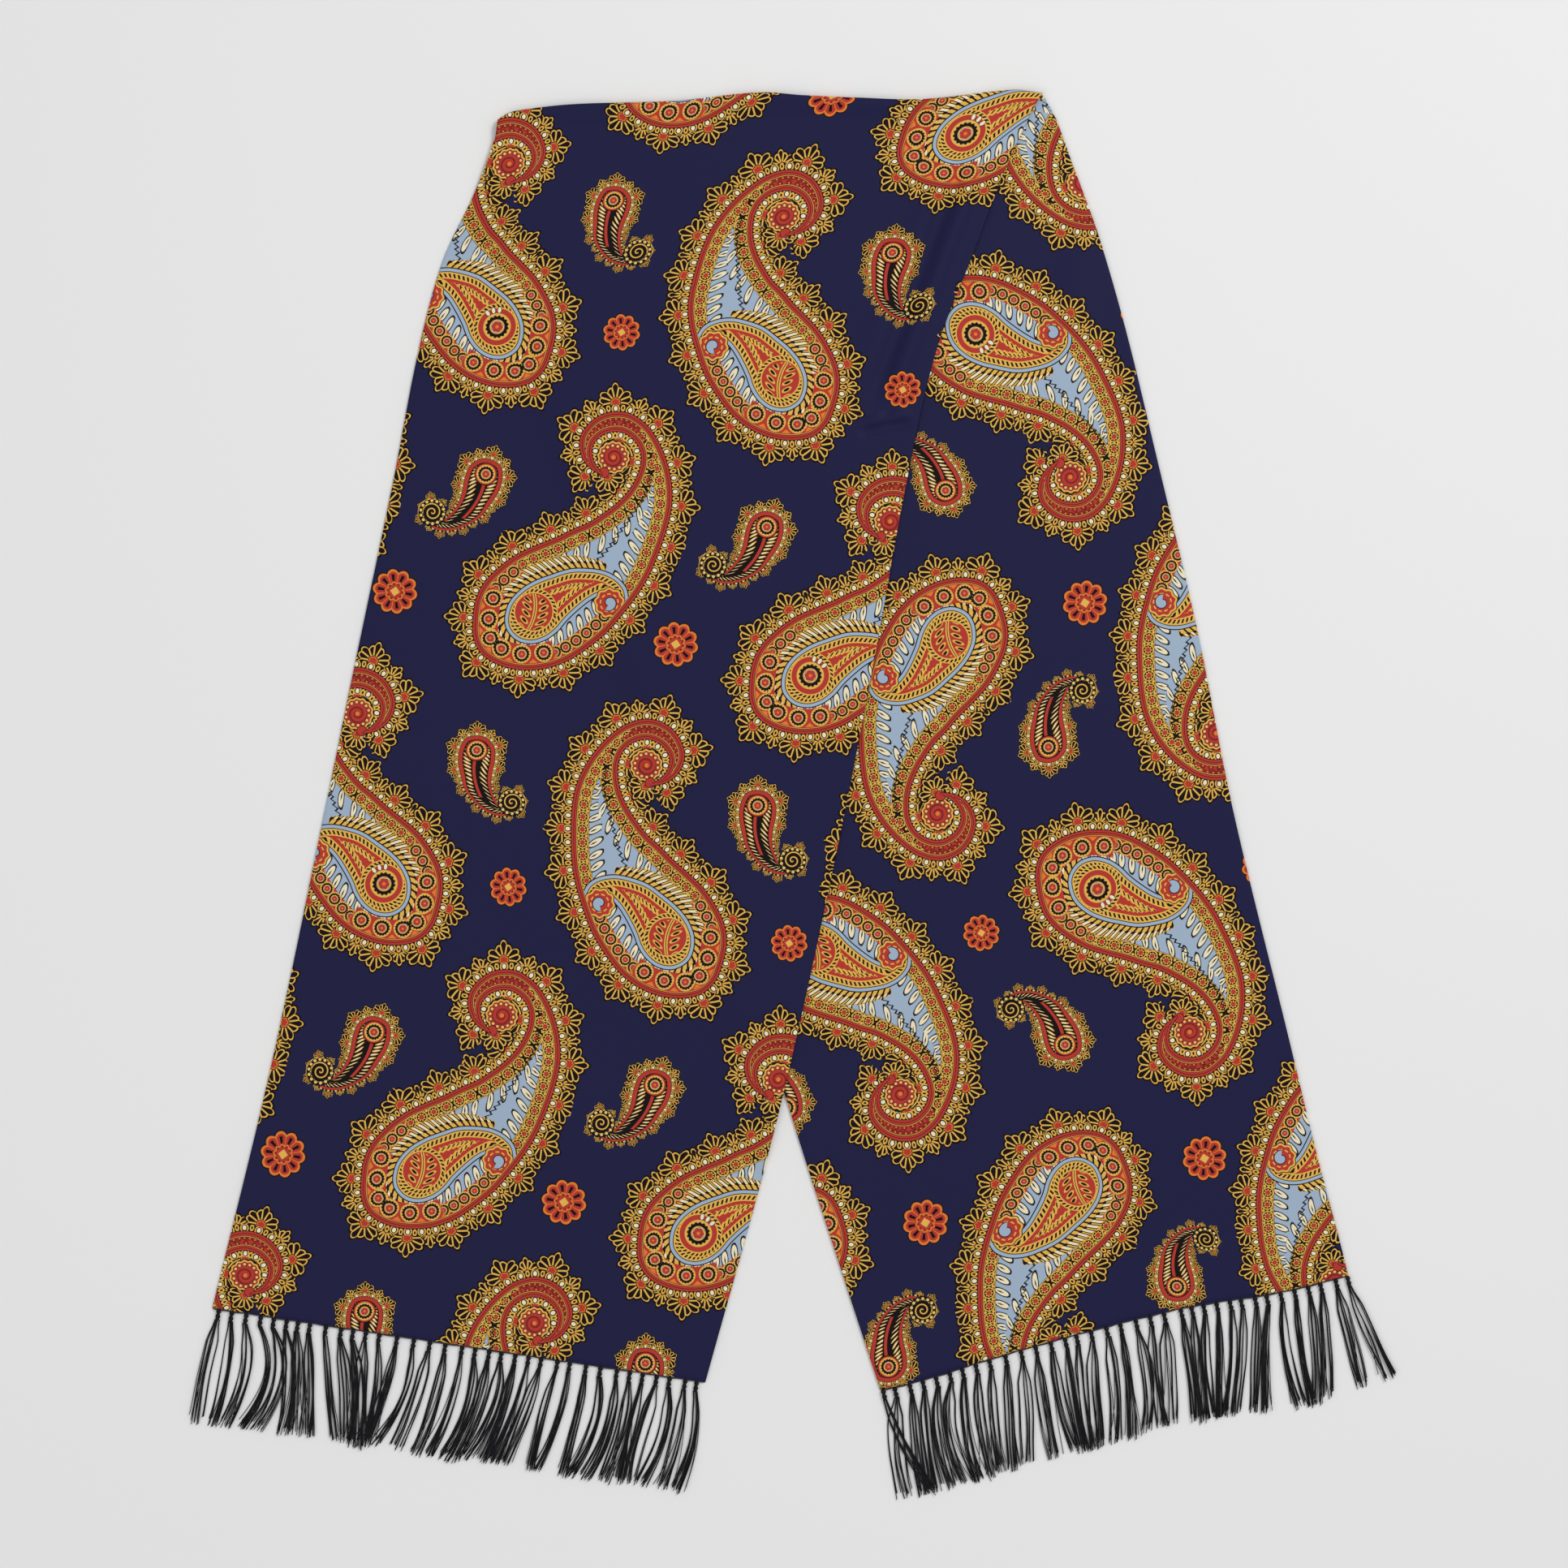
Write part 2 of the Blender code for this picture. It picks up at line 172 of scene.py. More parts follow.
OVER_CREASES = [
    # start x, start y, end x, end y, half width, height
    (247.0, -38.0, 211.0, -134.0, 4.0, -1.6),
    (255.5, -41.0, 220.0, -136.0, 4.5, 2.3),
    (239.0, -33.0, 202.0, -127.0, 5.0, 0.6),
    (221.0, -166.0, 201.0, -170.0, 2.2, -1.3),
    (221.0, -161.0, 203.0, -164.5, 2.2, 1.2),
    (216.0, -150.0, 211.0, -164.0, 2.4, -1.0),
    (236.0, -150.0, 232.0, -161.0, 1.3, -0.8),
    (120.0, -95.0, 66.0, -170.0, 9.0, 0.9),
    (-70.0, -420.0, 60.0, -560.0, 22.0, 0.9),
    (40.0, -250.0, 130.0, -330.0, 16.0, 0.7),
]
UNDER_CREASES = [
    # start x, start y, end x, end y, half width, height
    (318.0, -70.0, 300.0, -190.0, 9.0, 0.8),
    (380.0, -380.0, 330.0, -560.0, 18.0, 0.9),
]
over_length = abs(OVER_LEG[-1][2])
under_length = abs(UNDER_LEG[-1][2])
print(f"The legs run {over_length:.0f} and {under_length:.0f} mm down from the fold")

# %% [markdown]
# The tables are read on smooth curves through their rows, for whole arrays of points at once. A
# place on a leg is its share down the leg and its share across. The height comes from what lies
# below the cloth, and from the creases, each a soft strip that fades out at its ends.

# %% Reading the tables


def read_row(rows, at):
    """The columns of a table at places between its rows, on a smooth curve through them."""
    table = np.array(rows)
    at = np.asarray(at, float)
    i = np.clip(np.searchsorted(table[:, 0], at, side="right") - 1, 0, len(rows) - 2)
    low, high = np.maximum(i - 1, 0), np.minimum(i + 2, len(rows) - 1)
    span = table[i + 1, 0] - table[i, 0]
    t = (at - table[i, 0]) / span
    columns = []
    for column in range(1, table.shape[1]):
        value = table[:, column]
        slope_a = (value[i + 1] - value[low]) / (table[i + 1, 0] - table[low, 0]) * span
        slope_b = (value[high] - value[i]) / (table[high, 0] - table[i, 0]) * span
        columns.append((2 * t**3 - 3 * t**2 + 1) * value[i] + (t**3 - 2 * t**2 + t) * slope_a
                       + (3 * t**2 - 2 * t**3) * value[i + 1] + (t**3 - t**2) * slope_b)
    return columns


def smooth_step(value):
    """Rises from 0 to 1 as the value does, without a kink at either end."""
    value = np.clip(value, 0.0, 1.0)
    return value * value * (3 - 2 * value)


def leg_plan(leg, share, across):
    """Plan places of a leg: share down its length, across from its left edge."""
    rise = 0.0
    if leg is UNDER_LEG:
        rise = read_row(UNDER_HEM_RISE, across)[0] * smooth_step((share - 1) / UNDER_HEM_REACH + 1)
    left_x, left_y, right_x, right_y = read_row(leg, share)
    wave = read_row(FOLD_EDGE, across)[0] * (1 - smooth_step(share / FOLD_EDGE_REACH))
    x = left_x + (right_x - left_x) * across
    y = left_y + (right_y - left_y) * across + wave + rise
    return np.stack(np.broadcast_arrays(x, y), axis=-1)


EDGE_LEAN = 0.957  # the hidden edge leans, so the way to it is shorter than straight across


def over_leg_ground(plan):
    """The over leg lies on the ground, and steps up onto the under leg's hidden left edge."""
    edge = np.array(UNDER_LEG)
    edge_x = np.interp(-plan[..., 1], -edge[:, 2], edge[:, 1])
    before_edge = (edge_x - plan[..., 0]) * EDGE_LEAN
    return (WALL + SEAM) * smooth_step((STEP_FAR - before_edge) / (STEP_FAR - STEP_NEAR))


CREASE_FADE = 0.3  # share of a crease's length over which it fades out beyond each end


def crease_relief(creases, plan):
    """Height of the soft ridges and troughs, each a strip that fades out at its ends."""
    relief = np.zeros(plan.shape[:-1])
    for start_x, start_y, end_x, end_y, half_width, height in creases:
        along = np.array((end_x - start_x, end_y - start_y))
        from_start = plan - np.array((start_x, start_y))
        share = from_start @ along / (along @ along)
        off_line = np.linalg.norm(from_start - share[..., None] * along, axis=-1)
        fade = smooth_step(share / CREASE_FADE + 1) * smooth_step((1 - share) / CREASE_FADE + 1)
        relief += height * fade * smooth_step(1 - off_line / (2 * half_width))
    return relief


over_hem_ends = leg_plan(OVER_LEG, np.ones(2), np.array((0.0, 1.0)))
print(f"The over leg's hem is {np.linalg.norm(over_hem_ends[1] - over_hem_ends[0]):.0f} mm wide")

# %% [markdown]
# ## Where the print lies on the cloth
# The silk was printed flat and cut to a straight strip 270 mm wide, so the print follows the
# threads of the cloth. Weft threads run straight across each leg, all one way, while the warp
# bends near the fold where the cloth is pulled askew. A place on the cloth is therefore given by
# two numbers: how far down the leg it lies, square to the weft, and how far across, less the drift
# of the warp at that depth. The drift and the pulls were set by comparing renders with the photo.

# %% The grain of each leg
# drift: depth down the leg, drift of the warp. pulls: where fingers have pulled the silk askew,
# as x, y, reach, how far to the right, how far up.
OVER_GRAIN = {
    "weft_angle": math.radians(-10.7),
    "drift": [(-75, 33.0), (-25, 20.0), (0, 16.5), (20, 14.0), (40, 11.0), (60, 6.5), (80, 1.8),
              (100, 0.0), (135, -1.3), (200, -2.0), (330, -3.5), (570, -6.2), (700, -8.0)],
    "pulls": [
        (94, 0, 38, 0.0, -5.5), (3, -22, 45, 8.5, -2.0), (154, -50, 30, 0.0, -2.5),
        (254, -15, 45, 0.0, -4.5), (220, -145, 35, 0.0, -2.5), (0, -385, 45, 0.0, 3.0),
        (-125, -590, 60, 0.0, -3.5),
    ],
}
UNDER_GRAIN = {
    "weft_angle": math.radians(12.9),
    "drift": [(-40, -30.0), (0, -21.0), (50, -12.5), (93, -6.0), (134, -1.5), (188, 1.0), (330, 0.0),
              (480, -2.2), (640, -4.5), (760, -6.2)],
    "pulls": [
        (366, -642, 40, 5.5, 8.5), (312, -590, 40, 5.0, 4.5), (310, -690, 45, -2.0, 6.5),
        (455, -640, 45, 0.0, 6.0), (221, -534, 35, -2.0, 3.5), (400, -340, 45, 0.0, 2.5),
        (300, -430, 60, 0.0, -2.0), (250, -150, 70, 0.0, -2.5),
    ],
}


def on_the_cloth(grain, plan):
    """Across and down the cloth, in millimetres, for places on the plan."""
    for x, y, reach, right, up in grain["pulls"]:
        near = np.exp(-((plan[..., 0] - x) ** 2 + (plan[..., 1] - y) ** 2) / reach**2)
        plan = plan - near[..., None] * np.array((right, up))
    angle = grain["weft_angle"]
    weft = np.array((math.cos(angle), math.sin(angle)))
    down = np.array((math.sin(angle), -math.cos(angle)))
    depth = plan @ down
    return np.stack((plan @ weft - read_row(grain["drift"], depth)[0], depth), axis=-1)


over_corner, under_corner = (on_the_cloth(grain, np.zeros(2)) for grain in (OVER_GRAIN, UNDER_GRAIN))
print("The fold's left corner lies across the legs' grain at", over_corner[0].round(1), "and",
      under_corner[0].round(1), "mm")

# %% [markdown]
# ## The paisley's lines
# A paisley is a drop with a curled tail. Its lines are smooth closed curves through points in
# millimetres from the middle of the head, with y up. The points were picked along the lines
# in the photo, so they follow the drops of that print and aren't a free drawing. Every bead, petal
# and rosette of the print is placed by two numbers: how far it lies along such a line, and how far
# inside or outside of it.

# %% Outlines of the motifs
LARGE_DROP = [
    (12, 30), (21, 21), (27, 12.5), (30, 3.5), (30, -9), (28, -18.5), (22.5, -26), (12.5, -30.5),
    (0.5, -31.5), (-12, -29), (-23, -23.5), (-33, -15), (-42.5, -4.5), (-49.5, 6.5), (-55.5, 17.5),
    (-60, 28.5), (-63, 40), (-66, 57), (-66.5, 70), (-64.5, 81), (-60.5, 91.5), (-54.5, 101.5),
    (-46.5, 110), (-35.5, 115), (-24.5, 113.5), (-17, 108), (-12.5, 100), (-12.5, 93.5), (-15, 87.5),
    (-19.5, 83), (-27, 80), (-22, 85), (-19.5, 90), (-19.5, 96), (-23, 101), (-28.5, 104),
    (-34.5, 104.5), (-41, 101.5), (-45.5, 96), (-47, 89), (-45.5, 80), (-42, 72), (-36.5, 64.5),
    (-30.5, 58.5), (-23.5, 52.5), (-16, 48), (-8, 42.5), (3, 36),
]
INNER_DROP = [
    (-48.5, 6.5), (-49.5, 12.5), (-48, 19), (-43, 23.5), (-35.5, 26), (-27.5, 26), (-18.5, 24.5),
    (-9, 20), (-1, 15.5), (5.5, 10), (10, 3), (11, -4), (9.5, -9.5), (4, -14), (-3, -14.5),
    (-9.5, -11.5), (-14.5, -6.5), (-18.5, 0), (-23.5, 6.5), (-29, 12.5), (-33.5, 16), (-38, 18),
]
TAIL_VEIN = [(-30, 31), (-36, 40), (-41, 50), (-47, 62), (-52, 74), (-52, 85), (-46, 97), (-38, 105)]
SMALL_DROP = [
    (-1.5, 8), (-7, 5.5), (-9, -0.5), (-8.5, -7.5), (-5.5, -15.5), (-1.5, -23.5), (5, -29.5),
    (12.5, -33.5), (20, -34.5), (25.5, -32.5), (29.5, -29), (30, -24), (27.5, -20), (23, -19),
    (20, -21.5), (19.5, -25.5), (17.5, -28), (14, -24), (11.5, -18.5), (10.5, -11.5), (10.5, -4),
    (9, 3), (4, 7.5),
]
SPIRAL_EYE = (-31.5, 90.2)
TAIL_CURL = (-41.7, 11.5)
SMALL_CURL = (24.6, -25.8)
print("A large drop has", len(LARGE_DROP), "points, a small one", len(SMALL_DROP))

# %% [markdown]
# A smooth line passes through the chosen points, with its bends rounded the same way whether the
# points lie near or far apart. It is kept as close samples, and each sample knows its direction and
# how sharply the line bends there. From those the print is measured along and across the line.

# %% Smooth lines
SAMPLE_STEP = 0.4   # millimetres
TURN_REACH = 3      # samples on each side over which the bend is measured
BEND_SOFTNESS = 7   # samples on each side over which it is evened out
BATCH = 8000        # places handled at once, so that the table of distances stays small
STRAIGHT = 1e-4     # a bend this small counts as straight


class Line:
    """A smooth line through a few points, as close samples with their direction and bend."""

    def __init__(self, points, closed=True):
        knots = np.array(points, float)
        count = len(knots)
        runs = []
        for i in range(count if closed else count - 1):
            if closed:
                p = [knots[(i + k) % count] for k in (-1, 0, 1, 2)]
            else:
                p = [knots[min(max(i + k, 0), count - 1)] for k in (-1, 0, 1, 2)]
            gaps = [max(np.linalg.norm(b - a), 1e-3) ** 0.5 for a, b in zip(p, p[1:])]
            ahead = p[2] - p[1]
            first = ahead + gaps[1] * ((p[1] - p[0]) / gaps[0] - (p[2] - p[0]) / (gaps[0] + gaps[1]))
            last = ahead + gaps[1] * ((p[3] - p[2]) / gaps[2] - (p[3] - p[1]) / (gaps[1] + gaps[2]))
            t = np.arange(0, 1, SAMPLE_STEP / np.linalg.norm(ahead))[:, None]
            runs.append((2 * t**3 - 3 * t**2 + 1) * p[1] + (t**3 - 2 * t**2 + t) * first
                        + (3 * t**2 - 2 * t**3) * p[2] + (t**3 - t**2) * last)
        self.place = np.concatenate(runs)
        ahead = np.roll(self.place, -1, axis=0) - np.roll(self.place, 1, axis=0)
        if not closed:
            ahead[0], ahead[-1] = ahead[1], ahead[-2]
        self.direction = ahead / np.linalg.norm(ahead, axis=1)[:, None]
        steps = np.linalg.norm(np.diff(self.place, axis=0, append=self.place[:1]), axis=1)
        self.length = float(steps.sum())
        self.along = np.cumsum(steps) - steps
        heading = np.arctan2(self.direction[:, 1], self.direction[:, 0])
        turn = np.angle(np.exp(1j * (np.roll(heading, -TURN_REACH) - np.roll(heading, TURN_REACH))))
        bend = turn / (2 * TURN_REACH * self.length / len(self.place))
        padded = np.concatenate([bend[-BEND_SOFTNESS:], bend, bend[:BEND_SOFTNESS]])
        window = 2 * BEND_SOFTNESS + 1
        self.bend = np.convolve(padded, np.ones(window) / window, "valid")
        x, y = self.place.T
        inner_side = np.sum(x * np.roll(y, -1) - np.roll(x, -1) * y)
        self.side = 1.0 if inner_side > 0 or not closed else -1.0

    def nearest(self, places):
        """The nearest sample to each place, and the signed distance, positive inside."""
        index = np.empty(len(places), int)
        own = (self.place ** 2).sum(axis=1)
        for start in range(0, len(places), BATCH):
            part = places[start:start + BATCH]
            index[start:start + BATCH] = (own - 2 * part @ self.place.T).argmin(axis=1)
        offset = places - self.place[index]
        direction = self.direction[index]
        cross = direction[:, 0] * offset[:, 1] - direction[:, 1] * offset[:, 0]
        return index, np.where(cross * self.side > 0, 1, -1) * np.linalg.norm(offset, axis=1)

    def measure(self, index, corners):
        """Along and inward for the corners of each face, all by the bend at its nearest sample."""
        offset = corners - self.place[index][:, None]
        direction = self.direction[index][:, None]
        x = (offset * direction).sum(axis=2)
        y = direction[..., 0] * offset[..., 1] - direction[..., 1] * offset[..., 0]
        bend = self.bend[index][:, None]
        bend = np.where(np.abs(bend) < STRAIGHT, STRAIGHT, bend)
        inward = (1 - np.hypot(bend * x, 1 - bend * y)) / bend
        along = self.along[index][:, None] + np.arctan2(bend * x, 1 - bend * y) / bend
        stretch = np.clip(1 - bend * y, 0.3, 3.0)
        return along, inward * self.side, stretch


large_drop, inner_drop, small_drop = Line(LARGE_DROP), Line(INNER_DROP), Line(SMALL_DROP)
tail_vein = Line(TAIL_VEIN, closed=False)
PEARL_PITCH = 7.3  # millimetres, before it is fitted to a whole number of palmettes
large_pearls = 3 * round(large_drop.length / PEARL_PITCH / 3)
SMALL_SHARE = 1 / 1.75  # size of the small drop's ornaments against the large one's
small_pearls = 3 * round(small_drop.length / (PEARL_PITCH * SMALL_SHARE) / 3)
print(f"The large drop is {large_drop.length:.0f} mm round, with {large_pearls} pearls")

# %% [markdown]
# ## The repeat of the print
# Large drops stand in rows, and each second row is mirrored. Between them lie small drops and
# single flowers. One column in two has an eye in its head, and the other a leaf. The table gives
# one repeat, from the head of a leaf drop, across and down. On the under leg the cloth comes back
# the other way, so the whole print is turned round.

# %% The repeat
REPEAT = (311.6, 310.0)
COLUMN = 155.8
LEAF, EYE, SMALL, FLOWER, LARGE_FLOWER = 1, 2, 3, 4, 5
LAYOUT = [
    # kind, across, down, mirrored, turned (degrees, anticlockwise)
    (LEAF, 1.4, 0.0, False, 0.0),
    (EYE, -155.8, 0.5, False, 1.8),
    (LEAF, -108.6, 149.6, True, 2.2),
    (EYE, 46.0, 155.8, True, 2.2),
]
for column in (0, 1):
    LAYOUT += [
        (SMALL, 33.6 - column * COLUMN, -80.0, False, 0.0),
        (SMALL, 8.6 - column * COLUMN, 80.0, True, 0.0),
        (FLOWER, 65.2 - column * COLUMN, -9.5, False, 0.0),
        (LARGE_FLOWER, -27.4 - column * COLUMN, 152.0, False, 0.0),
    ]
OVER_PRINT = {"grain": OVER_GRAIN, "origin": (178.4, 111.0), "way": 1.0}
UNDER_PRINT = {"grain": UNDER_GRAIN, "origin": (69.8, 480.0), "way": -1.0}
FAR_OUTSIDE = -60.0
FLOWER_MARGIN = 3.0   # millimetres round a flower that keep its reading
SEARCH_MARGIN = 110.0
REPEATS = range(-3, 4)
SMALL_LACE = {"narrowing": 1.6, "from": 14.0, "over": 16.0}  # the lace narrows from head to curl
REACH = {LEAF: 112.0, EYE: 112.0, SMALL: 48.0, FLOWER: 14.0, LARGE_FLOWER: 17.0}
MIDDLE = {LEAF: (-18.0, 42.0), EYE: (-18.0, 42.0), SMALL: (9.0, -13.0), FLOWER: (0.0, 0.0),
          LARGE_FLOWER: (0.0, 0.0)}
FLOWER_RADIUS = {FLOWER: 10.0, LARGE_FLOWER: 12.2}


def motifs_on(print_map, cloth):
    """Each motif of the repeat that can reach the given places on the cloth."""
    low, high = cloth.min(axis=(0, 1)) - SEARCH_MARGIN, cloth.max(axis=(0, 1)) + SEARCH_MARGIN
    for kind, across, down, mirrored, turned in LAYOUT:
        for i in REPEATS:
            for j in REPEATS:
                place = (print_map["origin"][0] + print_map["way"] * (across + i * REPEAT[0]),
                         print_map["origin"][1] + print_map["way"] * (down + j * REPEAT[1]))
                if low[0] < place[0] < high[0] and low[1] < place[1] < high[1]:
                    yield kind, np.array(place), mirrored, math.radians(turned)


def in_motif(print_map, cloth, place, mirrored, turned):
    """Places on the cloth as a motif sees them: from its head, y up, unturned and unmirrored."""
    offset = (cloth - place) * print_map["way"] * np.array((1.0, -1.0))
    x = offset[..., 0] * math.cos(turned) + offset[..., 1] * math.sin(turned)
    y = offset[..., 1] * math.cos(turned) - offset[..., 0] * math.sin(turned)
    return np.stack((-x if mirrored else x, y), axis=-1)


def print_readings(print_map, cloth):
    """For the corners of each face: three rows of readings that the print's shader paints from.

    edge: pearls along the outline, depth inside it, millimetres a pearl
    inner: length along the inner drop, depth inside it, distance from the tail's vein
    spot: x and y in the motif, and its kind
    """
    edge = np.zeros((*cloth.shape[:2], 3))
    edge[..., 1] = FAR_OUTSIDE
    inner = np.zeros_like(edge)
    inner[..., 1] = FAR_OUTSIDE
    spot = np.zeros_like(edge)
    deepest = np.full(len(cloth), FAR_OUTSIDE)
    for kind, place, mirrored, turned in motifs_on(print_map, cloth):
        local = in_motif(print_map, cloth, place, mirrored, turned)
        middle = local.mean(axis=1)
        near = np.flatnonzero(np.linalg.norm(middle - MIDDLE[kind], axis=1) < REACH[kind])
        if not len(near):
            continue
        if kind in FLOWER_RADIUS:
            depth = FLOWER_RADIUS[kind] - np.linalg.norm(middle[near], axis=1)
            taken = near[depth > np.maximum(deepest[near], -FLOWER_MARGIN)]
            edge[taken] = (0.0, FAR_OUTSIDE, 1.0)
            spot[taken, :, :2] = local[taken] / FLOWER_RADIUS[kind]
            spot[taken, :, 2] = kind
            deepest[taken] = 0.0
            continue
        line = small_drop if kind == SMALL else large_drop
        index, depth = line.nearest(middle[near])
        nearer = depth > deepest[near]
        taken, index = near[nearer], index[nearer]
        deepest[taken] = depth[nearer]
        along, inward, stretch = line.measure(index, local[taken])
        spot[taken, :, :2] = local[taken]
        spot[taken, :, 2] = kind
        if kind == SMALL:
            from_head = np.linalg.norm(local[taken], axis=2)
            narrowing = smooth_step((from_head - SMALL_LACE["from"]) / SMALL_LACE["over"])
            scale = 1 / SMALL_SHARE + SMALL_LACE["narrowing"] * narrowing
            pitch = line.length / small_pearls
            edge[taken] = np.stack((along / pitch, inward * scale, stretch * pitch * scale), axis=-1)
            inner[taken, :, 1] = FAR_OUTSIDE
            continue
        pitch = line.length / large_pearls
        edge[taken] = np.stack((along / pitch, inward, stretch * pitch), axis=-1)
        inner_index, _ = inner_drop.nearest(middle[taken])
        inner_along, inner_depth, _ = inner_drop.measure(inner_index, local[taken])
        vein_index, _ = tail_vein.nearest(middle[taken])
        from_vein = tail_vein.measure(vein_index, local[taken])[1]
        inner[taken] = np.stack((inner_along, inner_depth, from_vein), axis=-1)
    return {"edge": edge, "inner": inner, "spot": spot}


print(f"One repeat of {REPEAT[0]:.0f} by {REPEAT[1]:.0f} mm holds {len(LAYOUT)} motifs")

# %% [markdown]
# ## Numbers that a shader can work with
# A shader is a web of small nodes, one for each sum. Wiring hundreds by hand would be unreadable,
# so `Number` stands for a value in the web and makes the nodes as Python adds and multiplies it.
# `Inks` lays one flat colour over another wherever a mask says so, as a printer lays screens.

# %% Shader arithmetic


class Number:
    """A value in a material's node tree that Python can reckon with."""

    tree = None

    def __init__(self, socket):
        self.socket = socket

    @classmethod
    def node(cls, operation, *values, clamp=False):
        made = cls.tree.nodes.new("ShaderNodeMath")
        made.operation = operation
        made.use_clamp = clamp
        for slot, value in zip(made.inputs, values):
            if isinstance(value, Number):
                cls.tree.links.new(value.socket, slot)
            else:
                slot.default_value = value
        return cls(made.outputs[0])

    def __add__(self, other):
        return self.node("ADD", self, other)

    __radd__ = __add__

    def __sub__(self, other):
        return self.node("SUBTRACT", self, other)

    def __rsub__(self, other):
        return self.node("SUBTRACT", other, self)

    def __mul__(self, other):
        return self.node("MULTIPLY", self, other)

    __rmul__ = __mul__

    def __truediv__(self, other):
        if isinstance(other, Number):
            return self.node("DIVIDE", self, other)
        return self.node("MULTIPLY", self, 1.0 / other)

    def scaled(self, factor, offset):
        return self.node("MULTIPLY_ADD", self, factor, offset)

    def size(self):
        return self.node("ABSOLUTE", self)

    def fraction(self):
        return self.node("FRACT", self)

    def wave(self):
        return self.node("COSINE", self)

    def root(self):
        return self.node("SQRT", self)

    def turn(self, other):
        return self.node("ARCTAN2", self, other)

    def most(self, other):
        return self.node("MAXIMUM", self, other)

    def least(self, other):
        return self.node("MINIMUM", self, other)

    def above(self, limit, soft=0.25):
        """A mask: 1 where the value is over the limit, with a soft edge."""
        if isinstance(limit, Number):
            return (self - limit).above(0.0, soft)
        return self.node("MULTIPLY_ADD", self, 1.0 / soft, 0.5 - limit / soft, clamp=True)

    def below(self, limit, soft=0.25):
        if isinstance(limit, Number):
            return (self - limit).below(0.0, soft)
        return self.node("MULTIPLY_ADD", self, -1.0 / soft, 0.5 + limit / soft, clamp=True)

    def between(self, low, high, soft=0.25):
        middle, half = (low + high) / 2, (high - low) / 2
        return self.scaled(1.0, -middle).size().below(half, soft)

    def repeat(self, pitch, start=0.0):
        """How far the value is past the nearest of a row of marks, less than half a pitch."""
        return self.scaled(1.0 / pitch, 0.5 - start / pitch).fraction().scaled(pitch, -pitch / 2)


class Inks:
    """The colours of the print, one laid over the other. lay() adds one through a mask."""

    def __init__(self, ground):
        self.colour = None
        self.ground = ground

    def lay(self, ink, mask):
        mix = Number.tree.nodes.new("ShaderNodeMix")
        mix.data_type = "RGBA"
        factor, below, above = mix.inputs[0], mix.inputs[6], mix.inputs[7]
        Number.tree.links.new(mask.socket, factor)
        if self.colour is None:
            below.default_value = (*self.ground, 1.0)
        else:
            Number.tree.links.new(self.colour, below)
        above.default_value = (*ink, 1.0)
        self.colour = mix.outputs[2]


def far(x, y):
    """How far (x, y) lies from the middle."""
    return (x * x + y * y).root()


print("A value in a shader can now be reckoned with")

# %% [markdown]
# ## The print's ornaments
# Each ornament is drawn in its own small frame, from circles, waves round a circle and straight
# bars. The black-toothed rosette, the gold floret and the palmette serve the whole print. The numbers
# in the drawing functions are radii and depths: shares of an ornament's own radius in the rosette,
# the floret and the flower, and millimetres elsewhere.

# %% Ornaments
NAVY = (0.0140, 0.0135, 0.054)
GOLD = (0.73, 0.425, 0.080)
PALE_GOLD = (0.72, 0.52, 0.16)
CREAM = (0.80, 0.72, 0.50)
RED = (0.43, 0.040, 0.028)
DARK_RED = (0.20, 0.018, 0.016)
ORANGE = (0.70, 0.19, 0.030)
BLUE = (0.33, 0.42, 0.54)
BLACK = (0.008, 0.005, 0.006)
FULL_TURN = 2 * math.pi


def draw_rosette(inks, x, y, where, lobes=6):
    """A red flower in a cream scallop, in a ring of black teeth, rimmed with gold."""
    reach, angle = far(x, y), y.turn(x)
    lobed = reach - (angle * lobes).wave() * 0.03
    inks.lay(GOLD, where * reach.below(1.03, 0.06))
    inks.lay(BLACK, where * (reach - (angle * 16).wave() * 0.05).below(0.84, 0.06))
    inks.lay(GOLD, where * reach.between(0.47, 0.55, 0.06))
    inks.lay(CREAM, where * lobed.between(0.40, 0.455, 0.05))
    inks.lay(RED, where * lobed.below(0.42, 0.05))
    inks.lay(ORANGE, where * reach.below(0.13, 0.06))


def draw_floret(inks, x, y, where):
    """A small gold flower on black, with a red middle."""
    reach, angle = far(x, y), y.turn(x)
    petal = (angle * 8).wave()
    inks.lay(GOLD, where * (reach - petal * 0.06).below(1.0, 0.08))
    inks.lay(BLACK, where * reach.below(0.80, 0.08))
    inks.lay(GOLD, where * (reach - petal * 0.12).below(0.56, 0.08))
    inks.lay(RED, where * reach.below(0.42, 0.08))


FAN_LEAVES = 6
FAN_RIBS = 14


def draw_fan(inks, x, y, where, radius, heart):
    """A palmette of leaves, black between gold ribs, with a red heart. y points out of the motif."""
    reach, angle = far(x, y), x.turn(y)
    leaf, rib = (angle * FAN_LEAVES).wave(), (angle * (FAN_RIBS / FULL_TURN)).repeat(1.0).size()
    edge = radius * 0.97
    short = reach - leaf * (radius * 0.12) + rib * rib * (radius * 0.65)
    inks.lay(BLACK, where * short.below(edge + 1.2))
    inks.lay(GOLD, where * short.below(edge))
    ribs = (rib.scaled(-1.0, 0.5) * reach * (FULL_TURN / FAN_RIBS)).above(0.40, 0.2)
    inks.lay(BLACK, where * ribs * short.below(edge - 0.75) * reach.above(heart + 1.1))
    inks.lay(BLACK, where * (reach - leaf * 0.25).below(heart + 1.1))
    inks.lay(ORANGE, where * (reach - leaf * 0.25).below(heart + 0.55))
    inks.lay(RED, where * (reach - leaf * 0.25).below(heart))


